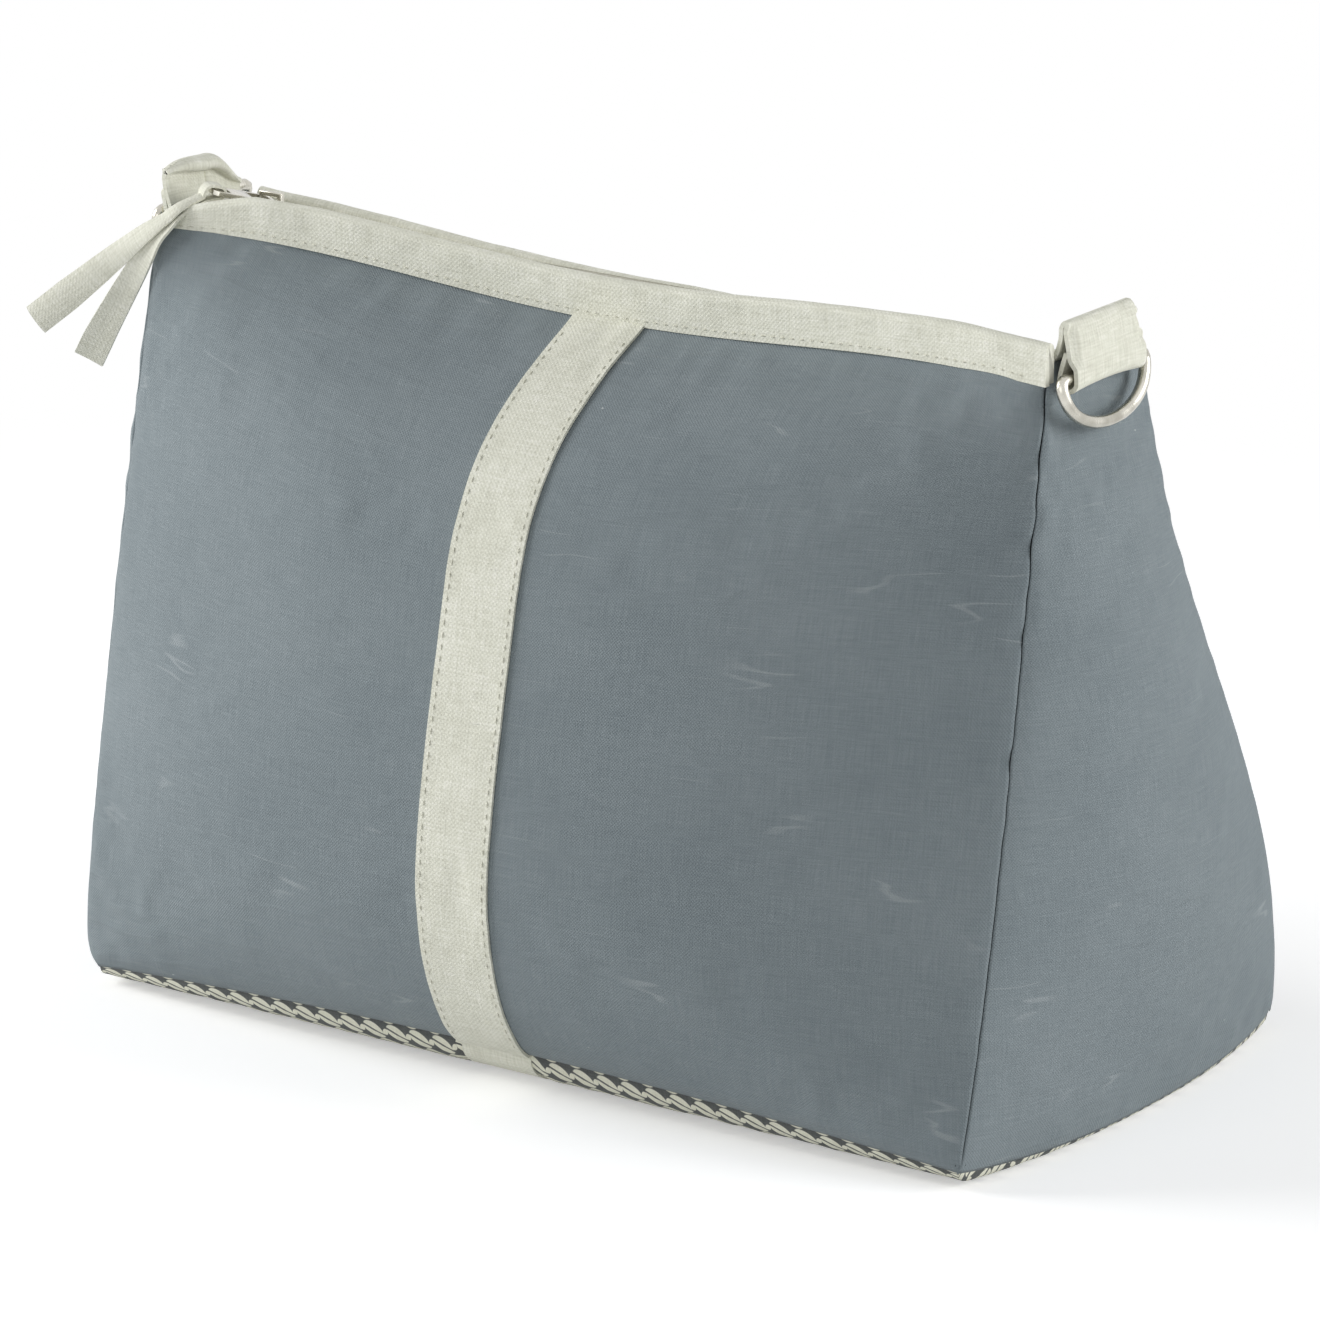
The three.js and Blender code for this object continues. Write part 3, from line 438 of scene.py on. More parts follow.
# Cloth simulation of the four walls: sewn fast along their edges, cut a little too large and blown out.
SIM_STEP = 4.2
SIM_FRAMES = 20
SIM_SLACK = 0.03
SIM_JITTER, SIM_JITTER_SIZE, SIM_JITTER_SEED = 0.15, 9, 3.1
SIM_QUALITY, SIM_PRESSURE = 6, 4
SIM_STIFFNESS, SIM_SHEAR, SIM_BENDING = 12, 4, 0.4
RIPPLE_BLUR, RIPPLE_GAIN = 6, 0.6
RIPPLE_LIMIT = {"front": 0.22, "back": 0.4, "left": 0.4, "right": 0.3}


def blurred(field, cells):
    reach = np.arange(-3 * cells, 3 * cells + 1)
    weights = np.exp(-0.5 * (reach / cells) ** 2)
    weights /= weights.sum()
    for axis in (0, 1):
        widths = [(0, 0)] * field.ndim
        widths[axis] = (3 * cells, 3 * cells)
        padded = np.pad(field, widths, mode="edge")
        field = np.apply_along_axis(lambda line: np.convolve(line, weights, "valid"), axis, padded)
    return field


def simulate_walls():
    points, faces, pinned, spans = [], [], [], {}
    count = 0
    for name, wall in WALLS.items():
        columns = int(2 * wall.half_width / SIM_STEP) + 1
        rows = int(wall.height / SIM_STEP) + 1
        s, v = np.meshgrid(np.linspace(-1, 1, columns), np.linspace(0, 1, rows))
        grid = wall.surface(s, v)
        jitter = SIM_JITTER * wobble(grid, SIM_JITTER_SIZE, SIM_JITTER_SEED)
        edge = (np.abs(s) > 0.999) | (v < 0.001) | (v > 0.999)
        grid = grid + normals_of(grid) * np.where(edge, 0, jitter)[..., None]
        spans[name] = (count, rows, columns, grid)
        faces += grid_faces(rows, columns, count)
        pinned += (count + np.flatnonzero(edge.ravel())).tolist()
        points.append(grid.reshape(-1, 3))
        count += rows * columns
    sheet = new_object("simulated_walls", np.concatenate(points), faces)
    sheet.vertex_groups.new(name="sewn").add(pinned, 1.0, "REPLACE")
    moved = run_cloth(sheet)
    for name, (start, rows, columns, grid) in spans.items():
        move = moved[start:start + rows * columns].reshape(rows, columns, 3) - grid
        ripple = move - blurred(move, RIPPLE_BLUR)
        reach = np.maximum(np.linalg.norm(ripple, axis=-1, keepdims=True), 1e-9)
        limit = RIPPLE_LIMIT[name]
        WALLS[name].ripples = ripple / reach * limit * np.tanh(RIPPLE_GAIN * reach / limit)
    bpy.data.objects.remove(sheet)


def run_cloth(sheet):
    modifier = sheet.modifiers.new("Cloth", "CLOTH")
    settings = modifier.settings
    settings.quality = SIM_QUALITY
    settings.vertex_group_mass = "sewn"
    settings.tension_stiffness = SIM_STIFFNESS
    settings.compression_stiffness = SIM_STIFFNESS
    settings.shear_stiffness = SIM_SHEAR
    settings.bending_stiffness = SIM_BENDING
    settings.shrink_min = -SIM_SLACK
    settings.use_pressure = True
    settings.uniform_pressure_force = SIM_PRESSURE
    settings.effector_weights.gravity = 0
    modifier.collision_settings.use_collision = False
    modifier.point_cache.frame_start = 1
    modifier.point_cache.frame_end = SIM_FRAMES
    scene = bpy.context.scene
    for number in range(1, SIM_FRAMES + 1):
        scene.frame_set(number)
    shown = sheet.evaluated_get(bpy.context.evaluated_depsgraph_get())
    mesh = shown.to_mesh()
    moved = np.zeros(len(mesh.vertices) * 3)
    mesh.vertices.foreach_get("co", moved)
    shown.to_mesh_clear()
    scene.frame_set(1)
    return moved.reshape(-1, 3) / MM


# Materials. A cloth's pattern follows its own threads, which the UVs give in metres.
GREY = ((116, 126, 131), (129, 139, 143), (141, 150, 154))
# The streak colour is a painted highlight for crease lines; the slub and lint colours are the cloth's own.
GREY_SLUB, GREY_CREASE_HIGHLIGHT, GREY_LINT = (158, 166, 169), (176, 182, 184), (214, 218, 218)
LINEN = ((206, 205, 189), (228, 228, 213), (244, 243, 232))
PRINT_DARK = ((78, 81, 80), (104, 107, 105))
PRINT_LIGHT = ((222, 221, 202), (240, 239, 222))
LEAF_PITCH, LEAF_ROW = 7.0, 5.2
SOFT_CLOTHS = {
    "lining": ((212, 208, 194), (228, 225, 213), 0.4),
    "zip_tape": ((186, 183, 166), (206, 203, 188), 0.6),
    # The corner seams' cloth is near black: painted shade for the shadowed slits of the seams.
    "seam_shade_cloth": ((22, 25, 27), (34, 38, 40), 0.4),
    "thread": ((208, 207, 190), (230, 229, 215), 0.25),
}


def linear(colour):
    """A colour as seen on screen, 0 to 255, in the renderer's own scale."""
    share = np.asarray(colour, float) / 255
    return np.where(share <= 0.04045, share / 12.92, ((share + 0.055) / 1.055) ** 2.4).tolist()


class Value:
    """A number that nodes work out, with the usual signs of arithmetic."""

    def __init__(self, nodes, socket):
        self.nodes = nodes
        self.socket = socket

    def __add__(self, other):
        return self.nodes.math("ADD", self, other)

    def __sub__(self, other):
        return self.nodes.math("SUBTRACT", self, other)

    def __mul__(self, other):
        return self.nodes.math("MULTIPLY", self, other)

    def __truediv__(self, other):
        return self.nodes.math("DIVIDE", self, other)

    def __pow__(self, other):
        return self.nodes.math("POWER", self, other)

    def __abs__(self):
        return self.nodes.math("ABSOLUTE", self)


class Nodes:
    """A tree of shader nodes. Inputs are given as values, sockets or plain settings."""

    def __init__(self, tree):
        self.tree = tree
        self.tree.nodes.clear()

    def add(self, kind, inputs=(), **settings):
        node = self.tree.nodes.new("ShaderNode" + kind)
        for key, value in settings.items():
            setattr(node, key, value)
        for key, value in dict(inputs).items():
            value = value.socket if isinstance(value, Value) else value
            if isinstance(value, bpy.types.NodeSocket):
                self.tree.links.new(value, node.inputs[key])
            else:
                node.inputs[key].default_value = value
        return node

    def value(self, node, output=0):
        return Value(self, node.outputs[output])

    def math(self, operation, *values, clamp=False):
        return self.value(self.add("Math", dict(enumerate(values)), operation=operation, use_clamp=clamp))

    def seen(self):
        """1 for what the camera sees, also in a mirror or through glass, and 0 for light on the object."""
        ray = self.add("LightPath")
        rays = [self.value(ray, f"Is {kind} Ray") for kind in ("Camera", "Glossy", "Transmission")]
        return self.math("MAXIMUM", self.math("MAXIMUM", rays[0], rays[1]), rays[2])

    def mix_shaders(self, factor, a, b):
        return self.add("MixShader", {0: factor, 1: a.outputs[0], 2: b.outputs[0]})

    def show(self, node, kind):
        self.add(kind, {"Surface": node.outputs[0]})


class Shader(Nodes):
    def __init__(self, name):
        self.material = bpy.data.materials.new(name)
        self.material.use_nodes = True
        super().__init__(self.material.node_tree)

    def cloth_place(self):
        return self.add("UVMap", uv_map="cloth").outputs["UV"]

    def object_place(self):
        return self.add("TexCoord").outputs["Object"]

    def noise(self, place, wide, high, detail=2.0, roughness=0.5, turn=0.0):
        """Noise whose lumps are wide by high millimetres, from 0 to 1."""
        scale = (1 / (wide * MM), 1 / (high * MM), 1 / (wide * MM))
        mapped = self.add("Mapping", {"Vector": place, "Rotation": (0, 0, turn), "Scale": scale})
        form = {"Vector": mapped.outputs[0], "Scale": 1.0, "Detail": detail, "Roughness": roughness}
        return self.value(self.add("TexNoise", form))

    def range(self, value, low, high, to_low=0.0, to_high=1.0):
        limits = {"Value": value, "From Min": low, "From Max": high, "To Min": to_low, "To Max": to_high}
        return self.value(self.add("MapRange", limits, interpolation_type="SMOOTHSTEP"))

    def ramp(self, value, places, colours):
        node = self.add("ValToRGB", {"Fac": value})
        elements = node.color_ramp.elements
        while len(elements) < len(places):
            elements.new(0.5)
        for element, place, colour in zip(elements, places, colours):
            element.position = place
            element.color = (*linear(colour), 1)
        return node.outputs["Color"]

    def mix(self, factor, a, b):
        a, b = [c if isinstance(c, bpy.types.NodeSocket) else (*linear(c), 1) for c in (a, b)]
        return self.add("Mix", {"Factor": factor, 6: a, 7: b}, data_type="RGBA").outputs[2]

    def bump(self, height, distance, normal=None):
        inputs = {"Height": height, "Strength": 1.0, "Distance": distance * MM}
        if normal is not None:
            inputs["Normal"] = normal
        return self.add("Bump", inputs).outputs[0]

    def finish(self, colour, roughness, normal, **fixed):
        look = {"Base Color": colour, "Roughness": roughness, "Normal": normal}
        for key, value in fixed.items():
            look[key.replace("_", " ").title().replace("Ior", "IOR")] = value
        self.show(self.add("BsdfPrincipled", look), "OutputMaterial")
        return self.material


def weave(shader, place, pitch):
    """Threads of a plain weave going over and under each other."""
    axes = shader.add("SeparateXYZ", {0: place})
    across_threads, along_threads = [
        shader.math("SINE", shader.value(axes, axis) * (math.pi / (pitch * MM))) for axis in (0, 1)
    ]
    return across_threads * along_threads


def threads(shader, place, thread, length):
    """Uneven threads in both directions, as a value round a half."""
    return (shader.noise(place, length, thread) + shader.noise(place, thread, length)) * 0.5


def painted_crease_highlights(shader, place):
    """Pale lines, here and there: painted highlights along creases."""
    line = abs(shader.noise(place, 70, 11, 2, 0.5, 0.1) - 0.5)
    here = shader.range(shader.noise(place, 24, 24, 1), 0.6, 0.7)
    return shader.range(line, 0.004, 0.016, 1, 0) * here


def grey_lint(shader, place):
    """Specks of lint, in a few cells of a scatter."""
    mapped = shader.add("Mapping", {"Vector": place, "Scale": (60, 90, 1)})
    scatter = shader.add("TexVoronoi", {"Vector": mapped.outputs[0], "Scale": 1.0})
    near = shader.range(shader.value(scatter, "Distance"), 0.012, 0.03, 1, 0)
    cell = shader.add("SeparateColor", {0: scatter.outputs["Color"]})
    return near * shader.range(shader.value(cell), 0.8, 0.82)


def grey_cloth():
    shader = Shader("grey_cloth")
    place = shader.cloth_place()
    yarn = threads(shader, place, 0.32, 9)
    broad = shader.noise(place, 55, 40, 3)
    slub = shader.range(shader.noise(place, 26, 0.5, 1), 0.7, 0.8)
    colour = shader.ramp(yarn * 0.65 + broad * 0.35, (0.3, 0.5, 0.7), GREY)
    colour = shader.mix(slub * 0.35, colour, GREY_SLUB)
    # Pale crease lines mixed into the colour: painted highlights.
    colour = shader.mix(painted_crease_highlights(shader, place) * 0.3, colour, GREY_CREASE_HIGHLIGHT)
    colour = shader.mix(grey_lint(shader, place) * 0.7, colour, GREY_LINT)
    roughness = shader.range(yarn, 0.3, 0.7, 0.92, 0.78)
    crease_line = abs(shader.noise(place, 60, 16, 3, 0.55, 0.12) - 0.5)
    crease = shader.math("SUBTRACT", 1.0, crease_line * 14.0, clamp=True)
    normal = shader.bump(weave(shader, place, 0.42) * 0.4 + yarn, 0.12)
    normal = shader.bump(crease, 0.16, normal)
    return shader.finish(colour, roughness, normal, sheen_weight=0.12, sheen_roughness=0.5,
                         specular_ior_level=0.25)


def linen_cloth():
    shader = Shader("linen")
    place = shader.cloth_place()
    yarn = threads(shader, place, 0.5, 6)
    broad = shader.noise(place, 16, 16, 3)
    weft_knots, warp_knots = [
        shader.range(shader.noise(place, wide, high, 2), 0.66, 0.78) for wide, high in ((5, 0.7), (0.7, 5))
    ]
    knots = shader.math("MAXIMUM", weft_knots, warp_knots)
    colour = shader.ramp(yarn * 0.75 + broad * 0.25, (0.3, 0.5, 0.66), LINEN)
    colour = shader.mix(knots * 0.5, colour, LINEN[-1])
    roughness = shader.range(yarn, 0.3, 0.7, 0.95, 0.85)
    normal = shader.bump(weave(shader, place, 0.6) * 0.5 + yarn * 1.5 + knots, 0.065)
    return shader.finish(colour, roughness, normal, sheen_weight=0.1, sheen_roughness=0.5,
                         specular_ior_level=0.2)


def soft_cloth(name, dark, light, pitch):
    shader = Shader(name)
    place = shader.cloth_place()
    yarn = threads(shader, place, pitch, pitch * 14)
    broad = shader.noise(place, 30, 30, 3)
    colour = shader.ramp(yarn * 0.5 + broad * 0.5, (0.32, 0.68), (dark, light))
    roughness = shader.range(yarn, 0.3, 0.7, 0.95, 0.82)
    normal = shader.bump(weave(shader, place, pitch * 1.3) * 0.5 + yarn, 0.1)
    return shader.finish(colour, roughness, normal, sheen_weight=0.08, specular_ior_level=0.2)


def leaf_print(shader, place):
    """Leaves with a bare vein, and dots between them, in staggered rows."""
    axes = shader.add("SeparateXYZ", {0: place})
    along = shader.value(axes, 0) / (LEAF_PITCH * MM)
    rows = shader.value(axes, 1) / (LEAF_ROW * MM)
    odd = shader.math("FLOORED_MODULO", shader.math("FLOOR", rows), 2.0) * 0.5
    cell_x = shader.math("FRACT", along + odd) - 0.5
    cell_y = shader.math("FRACT", rows) - 0.5
    lean = cell_x * 0.55 + cell_y
    leaf = abs(cell_x / 0.45) ** 2.0 + abs(lean / 0.42) ** 2.0
    leaf_ink = shader.range(leaf, 0.85, 1.05, 1, 0) * shader.range(abs(lean), 0.035, 0.07)
    dot = ((abs(cell_x) - 0.5) / 0.11) ** 2.0 + (cell_y / 0.19) ** 2.0
    return shader.math("MAXIMUM", leaf_ink, shader.range(dot, 0.8, 1.1, 1, 0))


def printed_cloth():
    shader = Shader("printed_cloth")
    place = shader.cloth_place()
    yarn = threads(shader, place, 0.35, 6)
    dark, light = [shader.ramp(yarn, (0.3, 0.7), colours) for colours in (PRINT_DARK, PRINT_LIGHT)]
    colour = shader.mix(leaf_print(shader, place), dark, light)
    roughness = shader.range(yarn, 0.3, 0.7, 0.94, 0.8)
    normal = shader.bump(weave(shader, place, 0.45) * 0.4 + yarn, 0.1)
    return shader.finish(colour, roughness, normal, sheen_weight=0.08, specular_ior_level=0.2)


def steel():
    shader = Shader("steel")
    place = shader.object_place()
    cloud = shader.noise(place, 6, 6, 4)
    scratch = shader.noise(place, 9, 0.25, 3)
    colour = shader.ramp(cloud, (0.3, 0.7), ((178, 175, 164), (218, 215, 205)))
    roughness = shader.range(cloud + scratch * 0.5, 0.5, 1.0, 0.16, 0.34)
    return shader.finish(colour, roughness, shader.bump(scratch, 0.012), metallic=1.0)


def plastic():
    shader = Shader("zip_teeth")
    cloud = shader.noise(shader.object_place(), 3, 3, 3)
    colour = shader.ramp(cloud, (0.3, 0.7), ((190, 186, 170), (208, 204, 190)))
    roughness = shader.range(cloud, 0.3, 0.7, 0.38, 0.55)
    return shader.finish(colour, roughness, shader.bump(cloud, 0.02), specular_ior_level=0.4)


def make_materials():
    return {
        "grey_cloth": grey_cloth(),
        "linen": linen_cloth(),
        "printed_cloth": printed_cloth(),
        **{name: soft_cloth(name, *look) for name, look in SOFT_CLOTHS.items()},
        "zip_teeth": plastic(),
        "steel": steel(),
    }


MATERIALS = make_materials()


def dress(piece, material, body, stands_for=()):
    piece.data.materials.append(MATERIALS[material])
    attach(piece, body)
    if stands_for:
        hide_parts(*stands_for)
    return piece


# Ribbon: one length of linen through the puller's eye, with two free tails.
FRONT_TAIL = [
    (-120.1, -26.9, 195.9), (-121.3, -30.2, 195), (-122.4, -33.2, 194), (-124.8, -34.8, 191.5),
    (-128.2, -36.5, 188.6), (-132.9, -37.5, 184.7), (-143.5, -39.5, 175.7), (-153.8, -42, 166.9),
    (-159.9, -43.5, 161.8),
]
FRONT_TAIL_WIDTHS = [
    (-0.82, 0.57, 0), (-0.88, 0.4, 0.1), (-0.78, 0.15, 0.4), (-0.6, -0.1, 0.6), (-0.52, -0.14, 0.6),
    (-0.52, -0.14, 0.6),
]
BACK_TAIL = [
    (-119.6, -26.3, 194.6), (-121, -30, 193.6), (-122.2, -33, 192.3), (-124.1, -35.2, 189.6),
    (-126.9, -36.6, 186.4), (-130, -37, 181.6), (-137, -38, 170.1), (-143.3, -39, 159.1),
    (-146.4, -39.5, 153.1),
]
BACK_TAIL_WIDTHS = [
    (-0.82, 0.57, 0), (-0.9, 0.35, 0.05), (-0.88, 0.15, 0.2), (-0.76, -0.2, 0.35), (-0.71, -0.35, 0.38),
    (-0.71, -0.35, 0.38), (-0.71, -0.35, 0.38),
]
RIBBON_TURN = [
    (18.3, -2), (18.2, -0.4), (17.3, 1.1), (15.2, 1.45), (13.6, 1.2), (12.9, 0), (13.6, -1.2), (15.2, -1.7),
    (17.1, -2.8),
]
TAIL_POINTS, TAIL_START, TURN_HALF, TURN_THICK = 40, 3.6, 2.1, 0.7


def curve_through(points, count):
    """Even places on a smooth curve through points."""
    points = np.array(points, float)
    knots = np.concatenate([[0], np.cumsum(np.linalg.norm(np.diff(points, axis=0), axis=1) ** 0.5)])
    slopes = np.gradient(points, knots, axis=0)
    fine = []
    for k in range(len(points) - 1):
        width = knots[k + 1] - knots[k]
        t = np.linspace(0, 1, 40, endpoint=k == len(points) - 2)[:, None]
        fine.append((2 * t ** 3 - 3 * t ** 2 + 1) * points[k] + (t ** 3 - 2 * t ** 2 + t) * width * slopes[k]
                    + (3 * t ** 2 - 2 * t ** 3) * points[k + 1] + (t ** 3 - t ** 2) * width * slopes[k + 1])
    fine = np.concatenate(fine)
    length = lengths_along(fine)
    places = np.linspace(0, length[-1], count)
    return np.stack([np.interp(places, length, fine[:, k]) for k in range(fine.shape[1])], -1)


def spread(values, count):
    values = np.array(values, float)
    places = np.linspace(0, len(values) - 1, count)
    return np.stack([np.interp(places, np.arange(len(values)), values[:, k]) for k in range(3)], -1)


def ribbon_grid(route, widths, width_at, curl):
    count, columns = len(route), 9
    tangent = np.gradient(route, axis=0)
    tangent /= np.linalg.norm(tangent, axis=1, keepdims=True)
    out = widths - tangent * (widths * tangent).sum(1, keepdims=True)
    out /= np.linalg.norm(out, axis=1, keepdims=True)
    up = np.cross(tangent, out)
    c = np.linspace(-1, 1, columns)
    u = np.linspace(0, 1, count)
    half = width_at(u)[:, None, None] / 2
    bow = (curl * (c ** 2 - 0.4))[None, :, None]
    return route[:, None] + out[:, None] * half * c[None, :, None] + up[:, None] * bow


def add_tail(name, route, widths, curl, full_at):
    def width_at(u):
        return lerp(TAIL_START, TAIL_WIDTH, np.minimum(1, u / full_at))

    path = curve_through(route, TAIL_POINTS)
    facing = spread(widths, TAIL_POINTS)
    grid = ribbon_grid(path, facing, width_at, curl)
    c = np.abs(np.linspace(-1, 1, grid.shape[1]))
    thick = np.broadcast_to(RIBBON_THICK * (1 - 0.35 * c ** 6), grid.shape[:2])
    piece = dress(slab(f"{name}_cloth", grid, thick), "linen", "puller", stands_for=[name])
    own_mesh(piece)
    return piece


def on_puller(points):
    """Places on the puller, whose own x axis runs to its tip, in the bag's frame."""
    tilt, yaw = math.radians(PULLER_TILT), math.radians(PULLER_YAW)
    x, y, z = np.moveaxis(np.asarray(points, float), -1, 0)
    forward, up = x * math.cos(tilt) - z * math.sin(tilt), x * math.sin(tilt) + z * math.cos(tilt)
    to_right = forward * math.cos(yaw) - y * math.sin(yaw)
    to_back = forward * math.sin(yaw) + y * math.cos(yaw)
    return np.stack([to_right, to_back, up], -1) + PULLER_PIVOT


def add_ribbon():
    route = curve_through([(x, 0, z) for x, z in RIBBON_TURN], 30)
    c = np.linspace(-TURN_HALF, TURN_HALF, 7)
    grid = on_puller(route[:, None] + np.array([0, 1.0, 0]) * c[None, :, None])
    turn = dress(slab("ribbon_fold_cloth", grid, TURN_THICK), "linen", "puller", stands_for=["ribbon_fold"])
    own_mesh(turn)
    add_tail("ribbon_front_tail", FRONT_TAIL, FRONT_TAIL_WIDTHS, 0.5, 0.8)
    add_tail("ribbon_back_tail", BACK_TAIL, BACK_TAIL_WIDTHS, -0.4, 0.9)


# Padded walls and the base.
def add_wall(name):
    wall = WALLS[name]
    columns, rows = WALL_GRIDS[name]
    s, v = np.meshgrid(crowd(columns, -1, 1, 0.55), crowd(rows, 0, 1, 0.45))
    outer = wall.outer(s, v)
    inner = wall.inset(s, v, PAD_THICK)
    piece = closed_pair(f"{name}_panel", outer, inner)
    dress(piece, "grey_cloth", "body", stands_for=[f"{name}_cover", f"{name}_wadding"])


def add_lining(name):
    wall = WALLS[name]
    columns, rows = LINING_GRID
    s, v = np.meshgrid(crowd(columns, -1, 1), crowd(rows, 0, 1))
    middle = wall.inset(s, v, LINING_IN + LINING_THICK / 2)
    inner_part = np.minimum(1, (1 - np.abs(s)) * 8) * np.minimum(1, v * (1 - v) * 16)
    puff = np.maximum(0, 0.5 * wobble(middle, 18, 5.0) * inner_part)
    inwards = wall.outward * puff[..., None]
    near = wall.inset(s, v, LINING_IN) - inwards
    far = wall.inset(s, v, LINING_IN + LINING_THICK) - inwards
    piece = closed_pair(f"{name}_lining_cloth", near, far)
    dress(piece, "lining", "body", stands_for=[f"{name}_lining"])
    declare_sheet(near)


def add_corner_seam_shade(name, wall, end):
    """The turned-in cloth at the bottom of a corner seam, near black as painted shade for the seam's
    shadowed slit.
    """
    first = WALLS[wall]
    v = np.linspace(0.01, 0.97, 90)
    line = first.surface(np.full_like(v, end), v)
    out = first.outward + end * first.along
    across_seam = first.along - end * first.outward
    wave = seam_wave(line * UP, first.corners[0 if end < 0 else 1])
    line = line - out * SEAM_DEPTH + across_seam * (wave / 2)[:, None]
    c = np.array([-1.0, -0.5, 0, 0.5, 1.0])
    grid = line[:, None] + across_seam * 0.9 * c[None, :, None]
    # A near-black strip: painted shade at the bottom of the seam.
    dress(slab(f"{name}_corner_seam", grid, 0.4), "seam_shade_cloth", "body")


def grid_area(grid):
    """Area of a grid, as two triangles in each cell."""
    low_left, low_right = grid[:-1, :-1], grid[:-1, 1:]
    high_left, high_right = grid[1:, :-1], grid[1:, 1:]
    lower = np.cross(high_left - low_left, low_right - low_left)
    upper = np.cross(low_right - high_right, high_left - high_right)
    return float(sum(np.linalg.norm(half, axis=-1).sum() / 2 for half in (lower, upper)))


def declare_sheet(grid):
    """Works out a cloth's width, length and area from its lengths along and across; nothing keeps them."""
    uv = arc_uv(grid)
    width = float((uv[:, -1, 0] - uv[:, 0, 0]).max()) * MM
    length = float(uv[-1, 0, 1] - uv[0, 0, 1]) * MM
    area = min(grid_area(grid) * MM * MM, width * length)
    area = max(area, 0.31 * width * length)


def base_grid(counts, depth):
    columns, rows = counts
    a, b = np.meshgrid(crowd(columns, -1, 1, 0.5), crowd(rows, -1, 1, 0.5))
    return a, b, base_floor(a, -b, depth)


def add_base():
    a, b, outer = base_grid(BASE_GRID, 0)
    from_end, from_side = (1 - np.abs(a)) * BASE_HALF_LENGTH, (1 - np.abs(b)) * BASE_HALF_DEPTH
    tuck_end = BASE_END_TUCK * fade(from_end, TUCK_REACH)
    tuck_side = BASE_SIDE_TUCK * fade(from_side, TUCK_REACH)
    groove = BAND_GROOVE * smooth((BAND_WIDTH / 2 + 1.6 - np.abs(outer[..., 0])) / BAND_GROOVE_EDGE)
    puff = BASE_PUFF * wobble(outer, 9, 2.2) * np.minimum(1, from_side / 5) * np.minimum(1, from_end / 5)
    lifted = np.abs(np.where(outer[..., 2] > 0.6, puff, 0))
    outer = outer + np.stack([-np.sign(a) * tuck_end, np.sign(b) * tuck_side, groove + lifted], -1)
    inner = base_grid(BASE_GRID, BASE_PAD_THICK)[2]
    piece = closed_pair("base_panel", outer, inner)
    dress(piece, "printed_cloth", "body", stands_for=["base_cover", "base_wadding"])
    near = base_grid(BASE_LINING_GRID, BASE_LINING_IN)[2]
    far = base_grid(BASE_LINING_GRID, BASE_LINING_IN + LINING_THICK)[2]
    lining = closed_pair("base_lining_cloth", near, far)
    dress(lining, "lining", "body", stands_for=["base_lining"])
    declare_sheet(near)


# Stitches: a row of short threads that lie on the cloth and dip in at both ends.
STITCH_LENGTH, STITCH_PITCH, STITCH_WIDTH, STITCH_RISE, STITCH_SUNK = 2.1, 2.9, 0.42, 0.3, 0.22


def stitch_row(line, normal):
    """Points and faces of one row along a line of places with the cloth's normals."""
    length = lengths_along(line)
    at = lambda values, place: np.stack([np.interp(place, length, values[:, k]) for k in range(3)], -1)
    points, faces = [], []
    sides, profile = 6, np.array([0.15, 0.75, 1.0, 0.75, 0.15])
    for number in range(int(length[-1] / STITCH_PITCH)):
        places = number * STITCH_PITCH + 0.4 + np.linspace(0, STITCH_LENGTH, len(profile))
        middle, up = at(line, places), at(normal, places)
        tangent = middle[-1] - middle[0]
        tangent /= np.linalg.norm(tangent)
        side = np.cross(up, tangent)
        start = len(points) * len(profile) * sides
        turns = np.linspace(0, 2 * math.pi, sides, endpoint=False)
        rings = (middle + up * (STITCH_RISE * profile[:, None] - STITCH_SUNK))[:, None]
        radius = (STITCH_WIDTH / 2 * profile)[:, None, None]
        rings = rings + radius * circle(side[:, None], up[:, None], turns)
        faces += [[start + i for i in face] for face in tube_faces(len(profile), sides, False)]
        points.append(rings.reshape(-1, 3))
    return np.concatenate(points), faces


def add_stitches(name, rows, body="body"):
    points, faces, count = [], [], 0
    for line, normal in rows:
        p, f = stitch_row(line, normal)
        faces += [[i + count for i in face] for face in f]
        points.append(p)
        count += len(p)
    points = np.concatenate(points)
    return dress(new_object(name, points, faces, points[:, [0, 2]]), "thread", body)


# Linen bands over the walls and under the base.
BAND_SHARE = BAND_WIDTH / (BODY_WIDTH - 2 * SHOULDER_TUCK)
BAND_LIFT, BASE_BAND_LIFT = 0.5, 0.15


def add_wall_band(name):
    wall = WALLS[name]
    rows = crowd(110, 0, 1, 0.45)
    s, v = np.meshgrid(np.linspace(-BAND_SHARE, BAND_SHARE, 17), rows)
    skin = wall.outer(s, v)
    normal = normals_of(skin)
    c = s / BAND_SHARE
    edge_ridge = 0.22 * fade(np.abs(c) - 0.93, 0.05, 2)
    stitch_dip = 0.2 * fade(np.abs(c) - 0.84, 0.03, 2)
    ridge = BAND_LIFT + edge_ridge - stitch_dip + 0.12 * wobble(skin, 5, 1.7)
    middle = skin + normal * ridge[..., None]
    piece = slab(f"{name}_band_cloth", middle, BAND_THICK)
    dress(piece, "linen", "body", stands_for=[f"{name}_band"])
    declare_sheet(middle)
    rows_of_stitches = []
    for column in (1, 15):
        line = middle[3:-4, column] + normal[3:-4, column] * BAND_THICK / 2
        rows_of_stitches.append((line, normal[3:-4, column]))
    add_stitches(f"{name}_band_stitches", rows_of_stitches)


